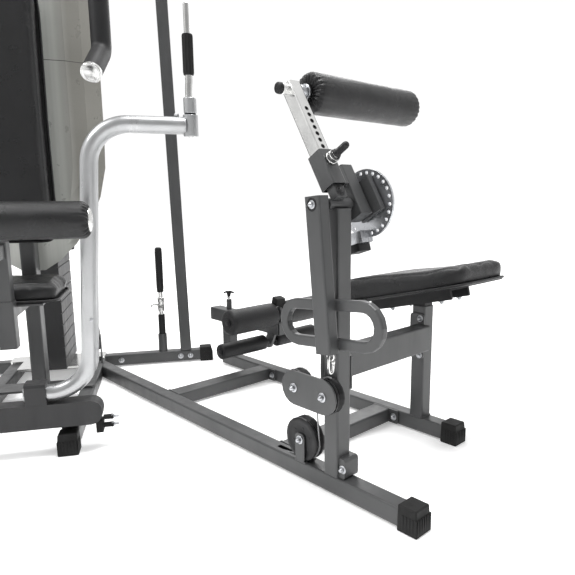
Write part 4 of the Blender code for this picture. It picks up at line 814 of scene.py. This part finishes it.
def station_bolts():
    """Bolts through the pulley cage, the brackets and the seat's plates."""
    bm = bmesh.new()
    for x in (-0.383, -0.276):
        bolt(bm, (x, -0.066, 0.288), (0, -1, 0), 0.0082)
        bolt(bm, (x, -0.0243, 0.288), (0, 1, 0), 0.0045, False)
    bolt(bm, (-0.404, -0.0266, 0.121), (0, -1, 0), 0.008)
    bolt(bm, (POST_X + 0.038, -0.018, 0.084), (0, -1, 0), 0.0075)
    near = 0.465
    for rail in (-1.164, -0.5115):
        bolt(bm, (rail + 0.054, near, 0.031), (0, -1, 0), 0.0082)
        bolt(bm, (rail + 0.054, REAR_Y + TUBE_HALF, 0.031), (0, 1, 0), 0.0075)
    for z in (0.396, 0.274):
        bolt(bm, (SEAT_POST_X + 0.012, near, z), (0, -1, 0), 0.0072)
        bolt(bm, (SEAT_POST_X + 0.002, REAR_Y + TUBE_HALF, z), (0, 1, 0), 0.007)
    for z in (0.356, 0.316):
        bolt(bm, (POST_X - TUBE_HALF, 0.0, z), (-1, 0, 0), 0.007)
    along = Vector((math.cos(SEAT_TILT), 0, math.sin(SEAT_TILT)))
    out = Vector((-math.sin(SEAT_TILT), 0, math.cos(SEAT_TILT)))
    top = Vector((SEAT_POST_X, REAR_Y, 0.467))
    for reach in (-0.095, 0.1):
        for side in (-0.05, 0.05):
            spot = top + along * reach - out * 0.0237 + Vector((0, side, 0))
            bolt(bm, spot, -out, 0.006)
    piece("station_bolts", bm, STATION, "zinc", "gym_frame")
    bm = bmesh.new()
    for x in (-1.395, -1.34):
        bolt(bm, (x, 0.4663, 0.235), (0, -1, 0), 0.005)
    piece("leg_sleeve_screws", bm, STATION, "zinc", "gym_frame")


def station_beads():
    """Weld beads round the posts, where they stand on the beams or carry a tube."""
    bm = bmesh.new()
    beam_top = 0.0565
    for x, y, z, half, radius in (
            (SEAT_POST_X, REAR_Y, beam_top, TUBE_HALF, 0.0022),
            (LEG_POST_X, REAR_Y, beam_top, TUBE_HALF, 0.0022),
            (LEG_POST_X, REAR_Y, 0.205, TUBE_HALF, 0.0022),
            (POST_X, 0.0, PIVOT_Z - 0.0125, 0.0235, 0.0014)):
        signs = ((-1, -1), (1, -1), (1, 1), (-1, 1))
        corners = [(x + i * half, y + j * half, z) for i, j in signs]
        points = []
        for a, b in zip(corners, corners[1:] + corners[:1]):
            points += [Vector(a).lerp(Vector(b), k / 14) for k in range(14)]
        ripples = math.tau * len(points) / 2.5
        sweep(bm, points, lambda f: radius * (1 + 0.22 * math.cos(ripples * f)), 8, closed=True)
    piece("station_weld_beads", bm, STATION, "frame", "gym_frame", 0)


def pulley_faces():
    """Moulded faces of the low pulley, which is seen from its side."""
    low = in_axes(STATION, "low_pulley")
    radius = 0.062
    bm = bmesh.new()
    for way in (-1, 1):
        turn = at((low.x, low.y + way * 0.015, low.z), facing((0, way, 0)))
        lathe(bm, [(0.013, -0.001), (0.013, 0.0008), (0.015, 0.0012), (0.018, 0.0012), (0.02, 0.0002),
                   (radius - 0.014, 0.0002), (radius - 0.012, 0.001), (radius - 0.003, 0.001),
                   (radius - 0.001, 0.0), (radius - 0.001, -0.001), (0.013, -0.001)], turn, 56)
        for i in range(6):
            a = math.tau * (i + 0.3) / 6
            spot = at((0.033 * math.cos(a), 0.033 * math.sin(a), 0.0))
            lathe(bm, [(0, 0.001), (0.0034, 0.001), (0.004, 0.0002), (0.004, -0.0008), (0, -0.0008)],
                  turn @ spot, 16)
    piece("low_pulley_faces", bm, STATION, "plastic", "low_pulley_body")


def lever_details():
    """The bright snap hook on the lever, the pivot's flanges and nuts, and the latch below the disc."""
    length = 0.362
    tip = Vector((POST_X + math.sin(LEVER_TILT) * length, -0.06, PIVOT_Z - math.cos(LEVER_TILT) * length))
    bm = bmesh.new()
    points = []
    centre = Vector((tip.x, tip.y, tip.z - 0.0275))
    for i in range(40):
        a = math.tau * i / 40
        wide, tall = 0.0085, 0.026
        points.append(centre + Vector((0, wide * math.copysign(abs(math.sin(a)) ** 0.7, math.sin(a)),
                                       tall * math.copysign(abs(math.cos(a)) ** 0.9, math.cos(a)))))
    sweep(bm, points, 0.0033, 12, closed=True)
    sweep(bm, [centre + Vector((0, 0.0086, -0.006)), centre + Vector((0, 0.0086, 0.007))], 0.0046, 14)
    ring_points = [Vector((tip.x + 0.0115 * math.cos(a), tip.y, tip.z - 0.008 + 0.0115 * math.sin(a)))
                   for a in (math.tau * i / 28 for i in range(28))]
    sweep(bm, ring_points, 0.0034, 10, closed=True)
    piece("lever_snap_hook", bm, STATION, "chrome", "lever", 0)
    bm = bmesh.new()
    for y, r in ((-0.0905, 0.017), (-0.054, 0.0185)):
        lathe(bm, [(0.01, 0.0), (r - 0.001, 0.0), (r, 0.001), (r, 0.003), (r - 0.001, 0.004),
                   (0.01, 0.004), (0.01, 0.0)], at((POST_X, y, PIVOT_Z), ALONG_Y), 36)
    piece("pivot_flanges", bm, STATION, "plastic", "lever")
    bm = bmesh.new()
    bolt(bm, (POST_X, 0.1128, PIVOT_Z), (0, 1, 0), 0.0085)
    bolt(bm, (POST_X, -0.0892, PIVOT_Z), (0, -1, 0), 0.007)
    piece("pivot_nuts", bm, STATION, "zinc", "lever")
    bm = bmesh.new()
    lean = Matrix.Rotation(math.radians(-18), 4, "Y")
    block(bm, (0.044, 0.044, 0.03), at((POST_X + 0.002, 0.084, 0.682), lean), 0.002)
    for k in range(4):
        block(bm, (0.0455, 0.002, 0.032), at((POST_X + 0.002, 0.068 + 0.0105 * k, 0.682), lean), 0.0006)
    piece("latch_housing", bm, STATION, "zinc", "lever")
    bm = bmesh.new()
    block(bm, (0.046, 0.046, 0.022), at((POST_X - 0.004, 0.083, 0.654), lean), 0.003)
    piece("latch_foot", bm, STATION, "plastic", "lever")


def arm_details():
    """Pull knob with stem and rings, rims of the tube's holes, and the arm's root and bolts."""
    along = Vector((-math.sin(ARM_TILT), 0, math.cos(ARM_TILT)))
    away = Vector((math.cos(ARM_TILT), 0, math.sin(ARM_TILT)))
    base = Vector((POST_X + 0.022, -0.011, PIVOT_Z))
    mouth = base + along * 0.112 + away * 0.0455
    turn = at(mouth, facing(away))
    bm = bmesh.new()
    rows = [(0, 0.0455), (0.005, 0.045), (0.0076, 0.0425), (0.0086, 0.039)]
    for k in range(8):
        rows += [(0.0092, 0.0365 - 0.0034 * k), (0.0084, 0.035 - 0.0034 * k)]
    rows += [(0.01, 0.0085), (0.012, 0.005), (0.012, 0.002), (0.0, 0.002)]
    lathe(bm, rows, turn, 32)
    knob = piece("arm_pull_knob", bm, STATION, "plastic", "arm_pin_body")
    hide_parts("arm_pin")
    bm = bmesh.new()
    lathe(bm, [(0.0064, -0.024), (0.0064, 0.0018), (0, 0.0018), (0, -0.024), (0.0064, -0.024)], turn, 24)
    lathe(bm, [(0, 0.0), (0.0105, 0.0), (0.0112, 0.0006), (0.0105, 0.0016), (0, 0.0016)], turn, 32)
    piece("arm_pull_stem", bm, STATION, "chrome", "arm_pin_body")
    bm = bmesh.new()
    collar = at(base + along * 0.112 + away * 0.0262, facing(away))
    lathe(bm, [(0.014, 0.0), (0.0165, 0.0004), (0.0168, 0.003), (0.016, 0.0042), (0.014, 0.0044),
               (0.014, 0.0)], collar, 36)
    lathe(bm, [(0.014, 0.012), (0.0156, 0.0122), (0.0158, 0.015), (0.014, 0.0154), (0.014, 0.012)],
          collar, 36)
    piece("arm_pull_rings", bm, STATION, "chrome", "roller_arm")
    bm = bmesh.new()
    for k in range(7):
        spot = base + along * (0.153 + 0.0185 * k) + away * 0.019
        lathe(bm, [(0.0038, 0.0002), (0.0062, 0.0002), (0.0064, -0.0006), (0.0038, -0.0006),
                   (0.0038, 0.0002)], at(spot, facing(away)), 20)
    piece("chrome_arm_bushes", bm, STATION, "plastic", "chrome_tube")
    root = at(base + along * 0.024 + away * 0.002) @ Matrix((
        (away.x, 0, along.x, 0), (0, 1, 0, 0), (away.z, 0, along.z, 0), (0, 0, 0, 1)))
    bm = bmesh.new()
    block(bm, (0.026, 0.036, 0.036), root @ at((0, 0, 0.008)), 0.003)
    piece("arm_root", bm, STATION, "frame", "roller_arm")
    bm = bmesh.new()
    bolt(bm, base + along * 0.028 + away * 0.0152 + Vector((0, -0.002, 0)), away, 0.0085, False)
    piece("arm_root_bolt", bm, STATION, "iron", "roller_arm")
    bm = bmesh.new()
    near_block = Vector((POST_X, 0.063, PIVOT_Z))
    bolt(bm, near_block + along * 0.082 - Vector((0, 0.0212, 0)), (0, -1, 0), 0.007)
    pivot = Vector((POST_X, 0.0, PIVOT_Z))
    bolt(bm, pivot + along * 0.03 + Vector((0, 0.0868, 0)), (0, 1, 0), 0.0055, False)
    piece("arm_block_bolts", bm, STATION, "zinc", "roller_arm")


def boom_knob():
    """A T handle on a bright stem over the leg boom."""
    mid = in_axes(STATION, "boom_pin")
    low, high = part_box("boom_pin")
    bm = bmesh.new()
    lathe(bm, [(0, low.z), (0.006, low.z), (0.006, high.z - 0.016), (0, high.z - 0.016)],
          at((mid.x, mid.y, 0)), 24)
    lathe(bm, [(0, high.z - 0.036), (0.0092, high.z - 0.036), (0.0096, high.z - 0.033),
               (0.008, high.z - 0.031), (0, high.z - 0.031)], at((mid.x, mid.y, 0)), 24)
    piece("boom_pin_stem", bm, STATION, "chrome", "boom_pin_body")
    bm = bmesh.new()
    lathe(bm, [(0, high.z - 0.03), (0.007, high.z - 0.03), (0.0085, high.z - 0.022),
               (0.0105, high.z - 0.012), (0.0095, high.z - 0.004), (0.0, high.z - 0.001)],
          at((mid.x, mid.y, 0)), 24)
    points = [Vector((mid.x + 0.024 * f * 0.75, mid.y + 0.024 * f * 0.66, high.z - 0.0065 - 0.006 * f * f))
              for f in (k / 8 - 1 for k in range(17))]
    sweep(bm, points, lambda f: 0.0052 * (1 - 0.45 * abs(2 * f - 1) ** 3), 14)
    knob = piece("boom_pin_handle", bm, STATION, "plastic", "boom_pin_body", 40)
    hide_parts("boom_pin")


def fly_arms():
    """The bent tube, its foam sleeve and the dished chrome cap that closes it."""
    y = FLY_Y
    for side, way in (("right", 1), ("left", -1)):
        node, body = "fly_arm_" + side, "fly_" + side
        x = way * 0.316
        corners = [(way * 0.1, y, 2.02), (x, y, 1.985), (x, y, 1.255), (way * 0.289, y - 0.115, 1.163)]
        path = [Vector((way * 0.1, y, 2.139))] + smooth_path([(way * 0.1, y, 2.139)] + corners, 0.05)[1:]
        end, before = path[-1], path[-2]
        out = (end - before).normalized()
        tube = bmesh.new()
        sweep(tube, path[:-1] + [end - out * 0.012], 0.015, 24)
        bar = piece(node + "_tube", tube, TOWER, "frame", body, 40)
        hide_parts(node)
        lower = [Vector((x, y, 1.56))] + smooth_path([(x, y, 1.56)] + corners[2:], 0.05)[1:]
        lower[-1] = end - out * 0.006
        dense = []
        for a, b in zip(lower, lower[1:]):
            steps = max(1, int((b - a).length / 0.012))
            dense += [a.lerp(b, k / steps) for k in range(steps)]
        dense.append(lower[-1])
        foam = bmesh.new()
        sweep(foam, dense, lambda f: 0.032 * min(1.0, 0.8 + 0.2 * math.sin(min(1.0, f * 24) * math.pi / 2)),
              40)
        sleeve = piece(node + "_foam", foam, TOWER, "foam", body, 50)
        cap = bmesh.new()
        lathe(cap, [(0, 0.0012), (0.006, 0.0009), (0.0225, 0.0042), (0.0285, 0.0058), (0.0315, 0.005),
                    (0.033, 0.0026), (0.033, -0.006), (0.0, -0.006)],
              at(end - out * 0.006, facing(out)), 48)
        piece(node + "_cap", cap, TOWER, "chrome", body)
        lid = bmesh.new()
        lathe(lid, [(0, 2.15), (0.02, 2.1495), (0.0235, 2.1475), (0.024, 2.144), (0.024, 2.139),
                    (0, 2.139)], at((way * 0.1, y, 0)), 36)
        piece(node + "_lid", lid, TOWER, "plastic", body)


def grips():
    """Press grips: ribbed handle, bright neck, silver collar and the swivel bolt below."""
    for side, way in (("right", 1), ("left", -1)):
        node, body = "grip_" + side, "grip_%s_body" % side
        mid = in_axes(TOWER, node)
        here = at((mid.x, mid.y, 0))
        bm = bmesh.new()
        lathe(bm, [(0, 1.255), (0.0138, 1.255), (0.015, 1.254), (0.015, 1.141), (0.0138, 1.14),
                   (0, 1.14)], here, 36)
        for k in range(12):
            a = math.tau * k / 12
            spot = Vector((0.0148 * math.cos(a), 0.0148 * math.sin(a), 0))
            sweep(bm, [spot + Vector((mid.x, mid.y, z)) for z in (1.143, 1.147, 1.249, 1.253)],
                  lambda f: 0.0004 + 0.001 * math.sin(math.pi * min(1, max(0, f))) ** 0.4, 8)
        handle = piece(node + "_handle", bm, TOWER, "rubber", body, 35)
        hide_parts(node)
        bm = bmesh.new()
        lathe(bm, [(0, 1.34), (0.0075, 1.3395), (0.009, 1.338), (0.009, 1.255), (0, 1.255)], here, 24)
        bend = [Vector((mid.x - way * 0.002, mid.y, 1.075)), Vector((mid.x - way * 0.0024, mid.y, 1.092)),
                Vector((mid.x - way * 0.0014, mid.y, 1.108)), Vector((mid.x, mid.y, 1.122)),
                Vector((mid.x, mid.y, 1.142))]
        sweep(bm, bend, lambda f: 0.01 + 0.0012 * f, 28)
        lathe(bm, [(0, 0.962), (0.0105, 0.962), (0.013, 0.964), (0.013, 1.027), (0, 1.027)], here, 28)
        piece(node + "_neck", bm, TOWER, "chrome", body, 40)
        bm = bmesh.new()
        lathe(bm, [(0, 1.031), (0.0178, 1.031), (0.019, 1.0325), (0.019, 1.074), (0.0178, 1.0758),
                   (0, 1.0758)], here, 36)
        piece(node + "_collar", bm, TOWER, "silver", body)
        bm = bmesh.new()
        lathe(bm, [(0, 1.0272), (0.0165, 1.0272), (0.017, 1.029), (0.0165, 1.031), (0, 1.031)], here, 36)
        piece(node + "_bush", bm, TOWER, "plastic", body)


def curl_handle():
    """The short bar parked in the socket on the rear beam, with its bright swivel and hook."""
    mid = in_axes(TOWER, "curl_bar")
    low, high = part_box("curl_bar")
    here = at((mid.x, mid.y, 0))
    bm = bmesh.new()
    lathe(bm, [(0, high.z), (0.01, high.z), (0.014, high.z - 0.003), (0.0155, high.z - 0.008),
               (0.0155, 0.344), (0.0145, 0.34), (0, 0.34)], here, 32)
    lathe(bm, [(0, 0.234), (0.014, 0.234), (0.0155, 0.231), (0.0155, low.z + 0.004), (0.014, low.z),
               (0, low.z)], here, 32)
    for k in range(10):
        a = math.tau * k / 10
        spot = Vector((mid.x + 0.0152 * math.cos(a), mid.y + 0.0152 * math.sin(a), 0))
        sweep(bm, [spot + Vector((0, 0, z)) for z in (0.352, 0.36, 0.525, 0.533)],
              lambda f: 0.0003 + 0.0009 * math.sin(math.pi * min(1, max(0, f))) ** 0.4, 6)
    grip = piece("curl_bar_grips", bm, TOWER, "foam", "curl_bar_body", 35)
    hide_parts("curl_bar")
    bm = bmesh.new()
    lathe(bm, [(0, 0.34), (0.0105, 0.34), (0.0108, 0.315), (0.015, 0.313), (0.0165, 0.309),
               (0.0165, 0.29), (0.0155, 0.2885), (0.0155, 0.2735), (0.0165, 0.272), (0.0165, 0.254),
               (0.015, 0.25), (0.0108, 0.248), (0.0105, 0.234), (0, 0.234)], here, 32)
    spot = Vector((mid.x, mid.y, 0.281))
    toward = Vector((-0.78, -0.62, 0))
    hook = [spot + toward * r + Vector((0, 0, h)) for r, h in
            ((0.015, 0.0), (0.024, 0.001), (0.034, 0.0035), (0.044, 0.005), (0.053, 0.002),
             (0.056, -0.004))]
    sweep(bm, hook, 0.0038, 12)
    piece("curl_bar_swivel", bm, TOWER, "chrome", "curl_bar_body", 40)


def tower_hardware():
    """Bolts of the tower, the stop lugs on its front beam, and the press arms' tubes, screws and beads."""
    bm = bmesh.new()
    for x in (0.529, 0.574, 0.262):
        for way in (1, -1):
            bolt(bm, (way * x, -TUBE_HALF, 0.031), (0, -1, 0), 0.0082)
    for way in (1, -1):
        for z in (2.0445, 2.0665):
            bolt(bm, (way * 0.508, -TUBE_HALF, z), (0, -1, 0), 0.007)
    piece("tower_bolts", bm, TOWER, "zinc", "gym_frame")
    bm = bmesh.new()
    dark = bmesh.new()
    for z in (0.098, 0.072):
        block(dark, (0.03, 0.022, 0.01), at((0.288, -0.905, z)), 0.002)
        bolt(bm, (0.298, -0.905, z), (1, 0, 0), 0.007)
        lathe(bm, [(0, 0.0), (0.004, 0.0), (0.004, 0.018), (0.0032, 0.019), (0, 0.019)],
              at((0.3, -0.905, z), facing((1, 0, 0))), 16)
    block(dark, (0.022, 0.04, 0.04), at((0.262, -0.9, 0.072)), 0.003)
    piece("press_stop_bolts", bm, TOWER, "zinc", "gym_frame")
    piece("press_stop_lugs", dark, TOWER, "rubber", "gym_frame")
    for side, way in (("right", 1), ("left", -1)):
        bm = bmesh.new()
        bolt(bm, (way * 0.262, -0.9345, 0.42), (0, -1, 0), 0.0042)
        piece("press_arm_screw_" + side, bm, TOWER, "zinc", "press_" + side)
        bm = bmesh.new()
        corners = [(way * 0.058, PRESS_Y, 0.195), (way * 0.242, PRESS_Y, 0.195),
                   (way * 0.292, PRESS_Y, 0.995), (way * 0.562, PRESS_Y, 0.995)]
        sweep(bm, smooth_path(corners, 0.118, 20), 0.0256, 44)
        piece("press_arm_tube_" + side, bm, TOWER, "silver", "press_" + side, 40)
        bm = bmesh.new()
        points = [(way * 0.54, PRESS_Y, 1.0212), (way * 0.54, PRESS_Y, 1.029)]
        sweep(bm, points, 0.0075, 18)
        points = [(way * 0.564, PRESS_Y + 0.0245 * math.cos(a), 0.995 + 0.0245 * math.sin(a))
                  for a in (math.tau * k / 36 for k in range(36))]
        sweep(bm, points, 0.0022, 8, closed=True)
        piece("press_arm_bead_" + side, bm, TOWER, "silver", "press_" + side, 0)


def foot_ribs():
    """Moulded ribs round the rubber feet."""
    def ribs(bm, axes_centre, yaw):
        turn = at(axes_centre) @ Matrix.Rotation(yaw, 4, "Z")
        for k in range(6):
            y = -0.0235 + 0.0094 * k
            block(bm, (0.0024, 0.0046, 0.044), turn @ at((0.0282, y, 0.024)), 0.0008)
        for side in (-1, 1):
            for k in range(5):
                x = -0.012 + 0.0094 * k
                block(bm, (0.0046, 0.0022, 0.044), turn @ at((x, side * 0.0296, 0.024)), 0.0007)
    for name, axes, spots in (
            ("station_foot_ribs", STATION, [((-0.03, 0, 0), 0.0), ((-0.237, REAR_Y, 0), 0.0)]),
            ("tower_foot_ribs", TOWER, [((0.65, 0, 0), 0.0), ((-0.65, 0, 0), math.pi),
                                        ((0.17, -0.925, 0), -math.pi / 2),
                                        ((-0.17, -0.925, 0), -math.pi / 2)])):
        bm = bmesh.new()
        for centre, yaw in spots:
            ribs(bm, centre, yaw)
        piece(name, bm, axes, "rubber", "gym_frame")


def leg_details():
    """The clamp on the boom, over the leg arm."""
    bm = bmesh.new()
    block(bm, (0.034, 0.046, 0.034), at((-1.098, REAR_Y, 0.35), Matrix.Rotation(0.25, 4, "Y")), 0.004)
    piece("leg_clamp", bm, STATION, "rubber", "boom")


camera()
studio()
dress_nodes()
soft_goods()
roller_hardware()
station_bolts()
station_beads()
pulley_faces()
lever_details()
arm_details()
boom_knob()
fly_arms()
grips()
curl_handle()
tower_hardware()
foot_ribs()
leg_details()

bpy.context.view_layer.update()
